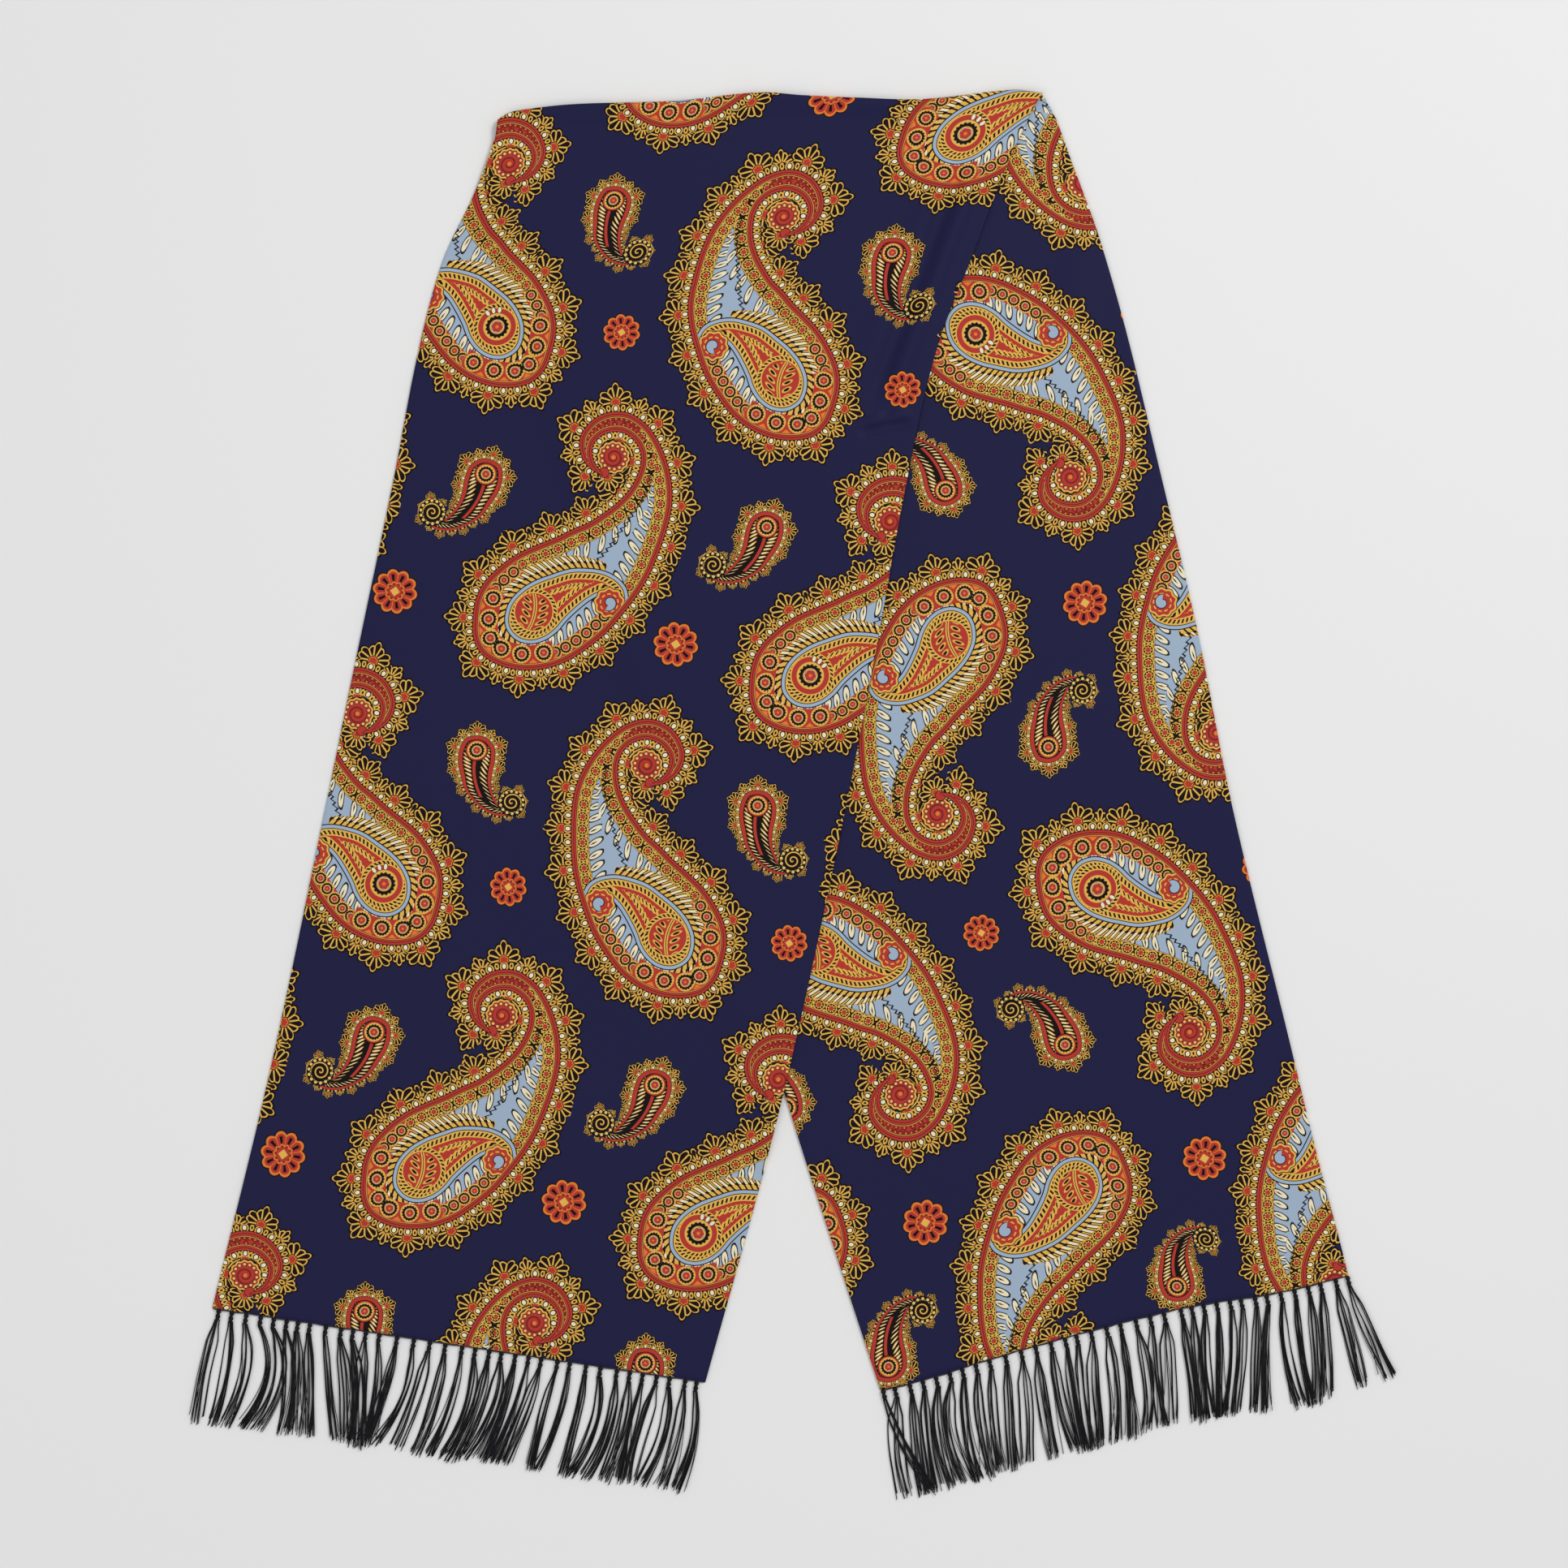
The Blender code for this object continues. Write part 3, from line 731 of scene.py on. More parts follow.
def draw_border(inks, along, depth, pitch):
    """The lace round a drop: large and small palmettes in turn, then a row of pearls."""
    out = depth * -1.0
    lace = out.between(-0.1, 18.0)
    draw_fan(inks, along.repeat(3.0, 1.5) * pitch, out.scaled(1.0, -3.0), lace, 7.8, 0.8)
    draw_fan(inks, along.repeat(3.0) * pitch, out.scaled(1.0, -5.2), lace, 10.0, 2.0)
    row = out.between(-0.1, 4.0, 0.2)
    inks.lay(BLACK, row)
    link = far(along.repeat(1.0, 0.5) * pitch / 1.2, out.scaled(1 / 2.0, -2.4 / 2.0))
    inks.lay(GOLD, row * link.between(0.45, 0.95, 0.2))
    pearl = far(along.repeat(1.0) * pitch / 1.05, out.scaled(1 / 1.35, -2.0 / 1.35))
    rim = far(along.repeat(1.0) * pitch / 1.9, out.scaled(1 / 2.1, -1.9 / 2.1))
    inks.lay(GOLD, row * rim.between(0.86, 1.2, 0.15))
    inks.lay(BLACK, row * pearl.below(1.35, 0.15))
    inks.lay(CREAM, row * pearl.below(0.98, 0.15))


print("A palmette has", FAN_RIBS, "ribs, and one stands at each third pearl")

# %% [markdown]
# ## The large drop
# From its line inwards, the large drop holds a string of florets on gold, which swells to rosettes
# on red round the head, then white leaves on a pale blue field with a dark vein up the tail. A
# smaller drop curls in its head, in a blue band and a collar of feathers. The order of the layers
# matters: what is drawn later covers what lies below. The drop in the head comes first here.

# %% The drop in the head
FEATHER_STRETCH = (27.0, 103.0)  # millimetres of the inner drop's line


def draw_inner_drop(inks, along, depth, x, body):
    """The drop in the head: feathers, a blue band, a barred gold band and a red middle."""
    out = depth * -1.0
    from_middle = along.scaled(1 / 40, -64 / 40)
    width = (from_middle * from_middle).scaled(-5.5, 11.0)
    collar = body * out.above(2.6) * (out - width).below(0.0) * along.between(*FEATHER_STRETCH)
    barb = (along - out * 0.6).repeat(3.1).size()
    inks.lay(GOLD, collar)
    inks.lay(BLACK, collar * barb.below(0.50, 0.2) * out.below(6.4, 0.3))
    inks.lay(BLACK, collar * barb.between(0.35, 0.95, 0.2) * out.above(5.0, 0.3))
    inks.lay(CREAM, collar * barb.above(0.90, 0.2) * out.above(5.6, 0.3) * (out - width).below(-0.7))
    inks.lay(BLACK, body * out.between(-0.1, 2.7, 0.15))
    inks.lay(BLUE, body * out.between(0.45, 2.1, 0.15))
    core = body * depth.above(0.0)
    inks.lay(GOLD, core)
    bar = (along - depth * 0.6).repeat(2.6).size()
    inks.lay(BLACK, core * bar.below(0.62, 0.2) * depth.between(0.8, 3.0, 0.2))
    inks.lay(RED, core * depth.above(3.7, 0.15))
    leaf = (along - depth * 1.2).repeat(3.0).size()
    inks.lay(GOLD, core * (depth - leaf * 0.5).between(5.3, 8.0, 0.15) * x.below(-9.0))
    inks.lay(BLACK, core * leaf.below(0.55, 0.2) * depth.between(5.9, 7.6, 0.2) * x.below(-9.0))


print("The collar of feathers is", FEATHER_STRETCH[1] - FEATHER_STRETCH[0], "mm long")

# %% [markdown]
# The head holds a red disc in a ring of barred gold. In one column of drops a gold leaf spray lies
# on it, in the other a rosette with three white leaves.

# %% The disc in the head
HEAD_MIDDLE = (-1.8, 0.6)
DISC_RADIUS = 10.0


def draw_head_ring(inks, x, y, where):
    """The ring round the head's red disc, barred gold."""
    reach, angle = far(x, y), y.turn(x)
    inks.lay(GOLD, where * reach.below(13.0))
    bar = (angle * 8.0 - reach * 0.5).repeat(1.6).size()
    inks.lay(BLACK, where * bar.below(0.42, 0.15) * reach.between(10.9, 12.5, 0.2))
    inks.lay(RED, where * reach.below(10.2))


def draw_leaf_spray(inks, x, y, where):
    """A gold leaf on red: a bowed stem with black-eyed leaflets on both sides."""
    side = (x - y * y * 0.02 + 0.6).size()
    leaflet = far((y - side * 0.6).repeat(3.9) / 1.35, side.scaled(1 / 2.7, -4.6 / 2.7))
    span = where * (y + side * 0.6).between(-8.0, 10.5)
    inks.lay(GOLD, span * leaflet.below(1.0, 0.15))
    inks.lay(BLACK, span * leaflet.below(0.60, 0.15))
    inks.lay(GOLD, where * side.below(0.95, 0.2))
    inks.lay(BLACK, where * side.below(0.22, 0.15))


def draw_head_eye(inks, x, y, where):
    """A rosette on the red disc, with three white leaves beside it."""
    reach, angle = far(x, y), y.turn(x)
    side_leaf = far((angle.scaled(1.0, -2.0)).repeat(0.36) * reach / 1.1, reach.scaled(1 / 1.9, -9.3 / 1.9))
    leaves = where * angle.between(1.46, 2.54, 0.05)
    inks.lay(BLACK, leaves * side_leaf.below(1.15, 0.15))
    inks.lay(CREAM, leaves * side_leaf.below(0.85, 0.15))
    draw_rosette(inks, x / 7.2, y / 7.2, where)


print("The disc is", 2 * DISC_RADIUS, "mm across")

# %% [markdown]
# The tails end in curls: the inner drop's in a scalloped ring round a blue hook, the large drop's
# in a winding red line with a ring of beads.

# %% The curls
SPIRAL_BEADS = 14


def draw_tail_curl(inks, x, y, where):
    """The end of the inner drop's tail: a red scalloped ring round a pale blue hook."""
    reach, angle = far(x, y), y.turn(x)
    scallop = (angle * 9.0).wave()
    edge = reach - scallop * 0.45
    inks.lay(BLACK, where * edge.below(8.4))
    inks.lay(GOLD, where * edge.below(7.9))
    inks.lay(RED, where * edge.below(6.9))
    inks.lay(GOLD, where * reach.between(4.5, 5.2) * scallop.above(-0.3, 0.4))
    hook = reach - angle.scaled(1 / FULL_TURN, 0.2).fraction() * 3.0
    inks.lay(BLACK, where * hook.below(1.9))
    inks.lay(BLUE, where * hook.below(1.4))


def draw_spiral_eye(inks, x, y, where):
    """The eye in the coil of the tail: a winding red line in a ring of small pearls."""
    reach, angle = far(x, y), y.turn(x)
    wind = (reach / 2.7 - angle / FULL_TURN).repeat(1.0).size()
    inks.lay(BLACK, where * reach.below(9.3))
    scallop = (angle * SPIRAL_BEADS).wave() * 0.3
    inks.lay(GOLD, where * (reach - scallop).below(8.6))
    inks.lay(RED, where * (reach - scallop).below(7.7))
    inks.lay(DARK_RED, where * wind.below(0.20, 0.08) * reach.below(5.2))
    bead = far(angle.repeat(FULL_TURN / SPIRAL_BEADS) * reach, reach.scaled(1.0, -6.4))
    inks.lay(DARK_RED, where * bead.below(1.25, 0.2))
    inks.lay(PALE_GOLD, where * bead.below(0.75, 0.2))
    inks.lay(ORANGE, where * reach.below(1.2))


print("The spiral has", SPIRAL_BEADS, "beads")

# %% [markdown]
# Now the layers of the large drop, from its black ground up to its outline. What lies along the
# outline is counted in pearls, and what lies inside it in millimetres.

# %% The layers of the large drop
HEAD_STRETCH = (0.3, 20.2)       # pearls of the outline that bound the red field
ROSETTE_STRETCH = (3.0, 15.0)    # of these, the ones beside the large rosettes
FILIGREE_STRETCH = (36.5, 52.5)  # pearls beside the dark red filigree of the coil
TURN_PALMETTE = (-30.0, 79.0)    # where the coil turns in, with a palmette of its own
TAIL_TIP = (-27.6, 81.2)


def draw_leaf_row(inks, along, depth, pitch, where):
    """Slanting white leaves with black edges."""
    leaf_x = (along - depth.scaled(0.075, -0.94)).repeat(1.0) * pitch
    leaf = far(leaf_x / 2.0, depth.scaled(1 / 4.3, -13.0 / 4.3))
    inks.lay(BLACK, where * leaf.below(1.14, 0.12))
    inks.lay(CREAM, where * leaf.below(0.84, 0.12))
    slit = leaf_x.size() / 0.45 + depth.scaled(1 / 2.4, -12.0 / 2.4).size()
    inks.lay(BLACK, where * slit.below(1.0, 0.2))


def draw_string(inks, edge, body):
    """The gold string of florets inside the outline, and the dark red filigree on the coil."""
    along, depth, pitch = edge
    string = body * depth.below(9.3)
    inks.lay(GOLD, body * depth.between(8.95, 9.35, 0.15))
    draw_floret(inks, along.repeat(1.0) * pitch / 3.2, depth.scaled(1 / 3.2, -5.9 / 3.2), string)
    dot = far(along.repeat(1.0, 0.5) * pitch, depth.scaled(1.0, -5.9).size().scaled(1.0, -2.2))
    inks.lay(GOLD, string * dot.below(0.75))
    filigree = body * along.between(*FILIGREE_STRETCH) * depth.below(9.3)
    speck = far(along.repeat(0.5) * pitch, depth.scaled(1.0, -0.9).repeat(2.9))
    inks.lay(RED, filigree)
    inks.lay(DARK_RED, filigree * speck.below(1.6))
    inks.lay(ORANGE, filigree * speck.below(0.5))


def draw_rosettes(inks, edge, inner_depth, body):
    """The red field round the head, with large rosettes at its end and small ones on its sides."""
    along, depth, pitch = edge
    field = body * along.between(*HEAD_STRETCH) * inner_depth.below(-3.1)
    large_ones = field * along.between(*ROSETTE_STRETCH) * depth.below(13.6)
    small_ones = field * along.between(*ROSETTE_STRETCH).scaled(-1.0, 1.0) * depth.below(10.4)
    inks.lay(RED, large_ones.most(small_ones))
    between_x = (along.repeat(2.0, 1.0) * pitch).size()
    notch = between_x + depth.scaled(1.1, -4.2)
    inks.lay(ORANGE, large_ones * notch.below(2.0, 0.2) * depth.above(3.4))
    draw_rosette(inks, along.repeat(1.0) * pitch / 3.7, depth.scaled(1 / 3.7, -6.7 / 3.7), small_ones)
    draw_rosette(inks, along.repeat(2.0) * pitch / 4.9, depth.scaled(1 / 4.9, -8.3 / 4.9), large_ones)


def from_place(x, y, place):
    """x and y counted from another place in the motif."""
    return x.scaled(1.0, -place[0]), y.scaled(1.0, -place[1])


def draw_outline(inks, depth, where):
    """The drop's own line: two red threads with a black one between, edged with gold."""
    inks.lay(BLACK, where * depth.between(-0.4, 3.1, 0.2))
    inks.lay(RED, where * depth.between(-0.05, 1.05, 0.2))
    inks.lay(RED, where * depth.between(1.35, 2.35, 0.2))
    inks.lay(GOLD, where * depth.between(2.65, 2.95, 0.2))


def draw_large_drop(inks, edge, inner, spot, is_large, is_eye):
    """All layers of a large drop, each over the ones before."""
    along, depth, pitch = edge
    inner_along, inner_depth, from_vein = inner
    x, y = spot
    body = is_large * depth.above(0.0)
    inks.lay(BLACK, body)
    inks.lay(BLUE, body * depth.above(9.6))
    draw_string(inks, edge, body)
    draw_leaf_row(inks, along, depth, pitch, body * depth.between(9.3, 17.6))
    zigzag = y.repeat(3.0).size().scaled(0.8, -0.6)
    inks.lay(BLACK, body * depth.above(5.5) * (from_vein + zigzag * 1.5).between(-0.5, 0.5, 0.3))
    draw_inner_drop(inks, inner_along, inner_depth, x, body)
    draw_rosettes(inks, edge, inner_depth, body)
    outside = is_large * depth.below(0.0)
    turn_x, turn_y = from_place(x, y, TURN_PALMETTE)
    fan_x, fan_y = turn_x * 0.85 - turn_y * 0.53, turn_x * -0.53 - turn_y * 0.85
    draw_fan(inks, fan_x, fan_y, outside * depth.below(-2.2), 8.6, 1.4)
    draw_spiral_eye(inks, *from_place(x, y, SPIRAL_EYE), outside)
    draw_tail_curl(inks, *from_place(x, y, TAIL_CURL), body)
    tip = far(*from_place(x, y, TAIL_TIP))
    inks.lay(BLACK, is_large * tip.below(3.0))
    inks.lay(RED, is_large * tip.below(2.6))
    head = from_place(x, y, HEAD_MIDDLE)
    draw_head_ring(inks, *head, body * inner_depth.above(0.7))
    disc = body * far(*head).below(DISC_RADIUS)
    draw_leaf_spray(inks, *head, disc * is_eye.scaled(-1.0, 1.0))
    draw_head_eye(inks, *head, body * is_eye * far(*head).below(12.0))
    draw_outline(inks, depth, is_large)


print("The large drop's red field is", HEAD_STRETCH[1] - HEAD_STRETCH[0], "pearls long")

# %% [markdown]
# ## The small drop and the flower
# The small drop repeats the large one in little: an eye in the head, a stem with white barbs down
# the tail, and a gold curl. The flower stands alone on the navy ground.

# %% The small drop and the flower


def draw_small_drop(inks, edge, spot, is_small):
    """The small drop, from its black ground up to the beads of its curl."""
    along, depth, pitch = edge
    x, y = spot
    body = is_small * depth.above(0.0)
    inks.lay(BLACK, body)
    barb_x = (along - depth * 0.12).repeat(0.62) * pitch
    barb = far(barb_x / 1.15, depth.scaled(1 / 3.4, -7.8 / 3.4))
    inks.lay(GOLD, body * barb.below(1.05, 0.15))
    inks.lay(CREAM, body * barb.below(0.62, 0.15))
    down = y.scaled(-1 / 23, -5 / 23)
    stem = (x - down * down * 9.0).size()
    tail = is_small * y.between(-26.0, -4.0)
    inks.lay(BLACK, tail * stem.below(1.6, 0.2))
    inks.lay(RED, tail * stem.below(0.85, 0.2))
    inks.lay(BLACK, is_small * depth.between(-0.5, 4.0, 0.2))
    inks.lay(RED, is_small * depth.between(-0.1, 3.4, 0.2))
    reach = far(x, y)
    inks.lay(BLACK, body * reach.below(6.3))
    inks.lay(RED, body * reach.below(5.8))
    draw_rosette(inks, x / 4.9, y / 4.9, body)
    curl_x, curl_y = from_place(x, y, SMALL_CURL)
    curl, angle = far(curl_x, curl_y), curl_y.turn(curl_x)
    wind = (curl / 2.6 + angle / FULL_TURN).repeat(1.0).size()
    coil = is_small * curl.below(7.8)
    inks.lay(BLACK, coil)
    inks.lay(GOLD, coil * wind.below(0.13, 0.1))
    bead = far(angle.repeat(FULL_TURN / SPIRAL_BEADS) * curl, curl.scaled(1.0, -6.3))
    inks.lay(BLACK, coil * bead.below(1.3, 0.2))
    inks.lay(PALE_GOLD, coil * bead.below(0.8, 0.2))


PETALS = 10


def draw_flower(inks, x, y, where):
    """A single flower: red petals edged with orange, round a gold diamond."""
    reach, angle = far(x, y), y.turn(x)
    petal = angle.repeat(FULL_TURN / PETALS).size() * (PETALS / math.pi)
    tip = reach + petal * petal * 0.17
    inks.lay(BLACK, where * tip.below(1.06, 0.03))
    inks.lay(ORANGE, where * tip.below(1.0, 0.03))
    inks.lay(RED, where * tip.below(0.89, 0.03) * petal.below(0.92, 0.08))
    inks.lay(BLACK, where * petal.below(0.32, 0.08) * reach.between(0.44, 0.78, 0.05))
    inks.lay(ORANGE, where * (reach + petal * 0.10).below(0.47, 0.03))
    inks.lay(DARK_RED, where * (reach + petal * 0.10).below(0.40, 0.03))
    inks.lay(RED, where * reach.below(0.30, 0.03))
    inks.lay(GOLD, where * (x.size() + y.size()).below(0.22, 0.04))


def draw_print(inks, edge, inner, spot):
    """The whole print, from the readings that each face carries."""
    x, y, kind = spot
    is_large = kind.between(0.5, 2.5, 0.1)
    is_eye = kind.between(1.5, 2.5, 0.1)
    is_small = kind.between(2.5, 3.5, 0.1)
    draw_border(inks, *edge)
    draw_large_drop(inks, edge, inner, (x, y), is_large, is_eye)
    draw_small_drop(inks, edge, (x, y), is_small)
    draw_flower(inks, x, y, kind.above(3.5, 0.1))


print("A flower has", PETALS, "petals")

# %% [markdown]
# ## Printed silk
# The shader reads the three rows of readings that each face carries, draws the ornaments and
# hands the colour to a smooth silk with very little gloss, and the finest of weaves as bump. Each
# leg has its own material, because its threads run another way.

# %% Printed silk
WEAVE_DEPTH = 0.00004
SILK_ROUGHNESS = 0.52
SILK_GLOSS = 0.06
SILK_THREAD = 0.0004  # metres from one thread of the weave to the next


def read_attribute(tree, name):
    """The three numbers that a face carries under a name."""
    node = tree.nodes.new("ShaderNodeAttribute")
    node.attribute_type = "GEOMETRY"
    node.attribute_name = name
    parts = tree.nodes.new("ShaderNodeSeparateXYZ")
    tree.links.new(node.outputs["Vector"], parts.inputs[0])
    return [Number(output) for output in parts.outputs]


def weave_bump(tree, shader, angle, pitch, strength):
    """Crossed threads as a fine bump, turned to the leg's grain."""
    place = tree.nodes.new("ShaderNodeTexCoord")
    grain = tree.nodes.new("ShaderNodeMapping")
    grain.inputs["Rotation"].default_value = (0.0, 0.0, -angle)
    tree.links.new(place.outputs["Object"], grain.inputs["Vector"])
    parts = tree.nodes.new("ShaderNodeSeparateXYZ")
    tree.links.new(grain.outputs[0], parts.inputs[0])
    waves = [(Number(output) * (FULL_TURN / pitch)).wave() for output in parts.outputs[:2]]
    height = waves[0] + waves[1] * waves[0] * 0.6
    bump = tree.nodes.new("ShaderNodeBump")
    bump.inputs["Strength"].default_value = strength
    bump.inputs["Distance"].default_value = WEAVE_DEPTH
    tree.links.new(height.socket, bump.inputs["Height"])
    tree.links.new(bump.outputs[0], shader.inputs["Normal"])


def make_printed_silk(name, weft_angle):
    """The print on navy silk, with its weave turned to the leg's weft."""
    material, shader = plain_material(name, NAVY, SILK_ROUGHNESS)
    tree = Number.tree = material.node_tree
    edge = read_attribute(tree, "edge")
    inner = read_attribute(tree, "inner")
    x, y, kind = read_attribute(tree, "spot")
    inks = Inks(NAVY)
    draw_print(inks, edge, inner, (x, y, kind))
    tree.links.new(inks.colour, shader.inputs["Base Color"])
    shader.inputs["Specular IOR Level"].default_value = SILK_GLOSS
    weave_bump(tree, shader, weft_angle, SILK_THREAD, 0.25)
    print(name, "has", len(tree.nodes), "nodes")
    return material


silk = {
    "over": make_printed_silk("printed_silk_over", OVER_GRAIN["weft_angle"]),
    "under": make_printed_silk("printed_silk_under", UNDER_GRAIN["weft_angle"]),
}

# %% [markdown]
# ## The silk shells
# Each leg is a flattened tube: a fine top layer that carries the print, two rounded edges and a
# plain layer below. It is built as rings across the leg, joined down its length. The rings are 1.5
# mm apart, so that the readings stay true between points. The ends stay open, as the tube's do:
# one runs on into the fold and the hem closes the other.

# %% Shells of the legs
TOP_CELLS = 180
BELOW_CELLS = 12
EDGE_STEPS = 3
LEG_RINGS = 462
HEM_PINCH = 2.0        # millimetres over which the tube closes towards its hem
HEM_THICKNESS = 0.35   # share of the wall that is left at the hem


def add_piece(name, points, faces, material):
    """A mesh object in the scarf's frame from points in millimetres off the fold's left corner."""
    mesh = bpy.data.meshes.new(name)
    shift = np.array((*FOLD_LEFT_CORNER, 0.0))
    mesh.from_pydata(((points + shift) * MM).tolist(), [], faces.tolist())
    mesh.materials.append(material)
    mesh.shade_smooth()
    mesh.validate()
    piece = bpy.data.objects.new(name, mesh)
    bpy.context.scene.collection.objects.link(piece)
    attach(piece, "root")
    return piece


def store_readings(piece, faces, print_map, plan):
    """Works out the print's readings at the corners of every face and stores them on the mesh."""
    cloth = on_the_cloth(print_map["grain"], plan)[faces]
    for name, values in print_readings(print_map, cloth).items():
        attribute = piece.data.attributes.new(name, "FLOAT_VECTOR", "CORNER")
        attribute.data.foreach_set("vector", values.astype(np.float32).ravel())


def ring_faces(rings, count):
    """The faces between closed rings of the same count."""
    ring, spot = np.meshgrid(np.arange(rings - 1), np.arange(count), indexing="ij")
    after = (spot + 1) % count
    row, row_after = ring * count, (ring + 1) * count
    corners = (row + spot, row + after, row_after + after, row_after + spot)
    return np.stack(corners, axis=-1).reshape(-1, 4)


def build_leg(name, leg, creases, ground, material, print_map):
    """One leg of the tube, from the fold's lip to its hem, with the print's readings on it."""
    first_share = FOLD_DEPTH / abs(leg[-1][2])
    share = np.linspace(first_share, 1.0, LEG_RINGS)[:, None]
    top = leg_plan(leg, share, np.linspace(0, 1, TOP_CELLS + 1)[None])
    below = leg_plan(leg, share, np.linspace(0, 1, BELOW_CELLS + 1)[None])
    across = top[:, -1] - top[:, 0]
    across /= np.linalg.norm(across, axis=1)[:, None]
    from_hem = (1 - share[:, 0]) * abs(leg[-1][2])
    wall = WALL * (HEM_THICKNESS + (1 - HEM_THICKNESS) * smooth_step(from_hem / HEM_PINCH))
    top_z = ground(top) + wall[:, None] + crease_relief(creases, top)
    below_z = ground(below)
    rings = [np.concatenate((below, below_z[..., None]), axis=2)]
    for side, plan, low, high in ((1, top[:, -1], below_z[:, -1], top_z[:, -1]),
                                  (-1, top[:, 0], below_z[:, 0], top_z[:, 0])):
        turns = np.pi * np.arange(1, EDGE_STEPS + 1) / (EDGE_STEPS + 1)
        turns = turns if side == 1 else turns[::-1]
        out = np.sin(turns)[None, :, None] * across[:, None] * SIDE_BULGE * side
        height = (low + high)[:, None] / 2 - np.cos(turns)[None] * (high - low)[:, None] / 2
        edge = np.concatenate((plan[:, None] + out, height[..., None]), axis=2)
        if side == 1:
            rings += [edge, np.concatenate((top, top_z[..., None]), axis=2)[:, ::-1]]
        else:
            rings.append(edge)
    rings = np.concatenate(rings, axis=1)
    count = rings.shape[1]
    points = rings.reshape(-1, 3)
    faces = ring_faces(LEG_RINGS, count)[:, ::-1]
    piece = add_piece(name, points, faces, material)
    store_readings(piece, faces, print_map, points[:, :2])
    print(f"{name}: {len(faces)} faces")
    return piece


def flat_ground(plan):
    """The under leg lies on the ground all over."""
    return np.zeros(plan.shape[:-1])


over_silk = build_leg("over_leg_silk", OVER_LEG, OVER_CREASES, over_leg_ground, silk["over"], OVER_PRINT)
under_silk = build_leg("under_leg_silk", UNDER_LEG, UNDER_CREASES, flat_ground, silk["under"], UNDER_PRINT)
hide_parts("over_leg")
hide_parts("under_leg")

# %% [markdown]
# ## The fold
# Across the middle the tube turns over on itself in one soft bend. Its section is a hairpin: down
# the under leg's side, round, and back along the over leg. The outer and inner skins join at the
# two corners, so the fold is a short stretch of the same tube.

# %% The section of the fold
BEND_STEPS = 14
LIP_STEPS = 10


def fold_section():
    """The hairpin's outer and inner points, and how far each lies down the cloth when unrolled.

    A point is its way inward from the fold's edge, its height, and 0 on the under leg's side to 1
    on the over leg's.
    """
    radius = FOLD_HEIGHT / 2
    upper = WALL + SEAM + WALL
    outer = [(FOLD_DEPTH - (FOLD_DEPTH - radius) * k / LIP_STEPS, 0.0, 0.0) for k in range(LIP_STEPS)]
    for step in range(BEND_STEPS + 1):
        turn = math.pi * step / BEND_STEPS
        inward, height = radius - radius * math.sin(turn), radius - radius * math.cos(turn)
        outer.append((inward, height, step / BEND_STEPS))
    for k in range(1, LIP_STEPS + 1):
        share = k / LIP_STEPS
        height = FOLD_HEIGHT - (FOLD_HEIGHT - upper) * share * share * (3 - 2 * share)
        outer.append((radius + (FOLD_DEPTH - radius) * share, height, 1.0))
    points = np.array(outer)
    ahead = np.gradient(points[:, :2], axis=0)
    ahead /= np.linalg.norm(ahead, axis=1)[:, None]
    inner = points.copy()
    inner[:, 0] += ahead[:, 1] * WALL
    inner[:, 1] += -ahead[:, 0] * WALL
    inner[0, 0] = inner[-1, 0] = FOLD_DEPTH
    steps = np.linalg.norm(np.diff(points[:, :2], axis=0), axis=1)
    unrolled = FOLD_DEPTH - (steps.sum() - np.concatenate([[0], np.cumsum(steps)]))
    return points, inner, unrolled


outer, inner, unrolled = fold_section()
print(f"The fold's skin is {FOLD_DEPTH - unrolled[0]:.0f} mm round")

# %% [markdown]
# Along the fold, each point of the section follows the outline of the leg that it runs on into. The
# print has to run on too, so each point also gets the place on the plan where it would lie if the
# over leg ran straight on.

# %% The fold
FOLD_CELLS = 180
LIP_RUN = 13.0  # millimetres of the over leg that give its direction at the fold


def fold_points(section, across):
    """The section's points at every place along the fold."""
    inward, height, belongs = section[:, 0, None], section[:, 1, None], section[:, 2, None]
    over = leg_plan(OVER_LEG, np.maximum(inward, 0) / over_length, across)
    under = leg_plan(UNDER_LEG, np.maximum(inward, 0) / under_length, across)
    plan = under + (over - under) * belongs[..., None]
    z = np.broadcast_to(height, plan.shape[:2])
    return np.concatenate((plan, z[..., None]), axis=2)


def unrolled_plan(unrolled, across):
    """Where the cloth of the fold would lie if the over leg ran straight on."""
    lip, further_down = (leg_plan(OVER_LEG, np.full((1, 1), run / over_length), across)
                         for run in (0.0, LIP_RUN))
    within = leg_plan(OVER_LEG, np.maximum(unrolled, 0)[:, None] / over_length, across)
    return within + (lip - further_down) * (np.maximum(-unrolled, 0) / LIP_RUN)[:, None, None]


def fold_faces(half):
    """Outer skin, inner skin, and the two corners where they join. The lips stay open."""
    width = FOLD_CELLS + 1
    faces = []
    for row in range(2 * half - 1):
        if row == half - 1:
            continue
        for cell in range(FOLD_CELLS):
            a = row * width + cell
            faces.append((a, a + 1, a + width + 1, a + width))
    for cell, turned in ((0, 1), (FOLD_CELLS, -1)):
        for row in range(half - 1):
            a, b = row * width + cell, (row + 1) * width + cell
            c, d = (2 * half - 2 - row) * width + cell, (2 * half - 1 - row) * width + cell
            faces.append((a, b, c, d)[::turned])
    return np.array(faces)


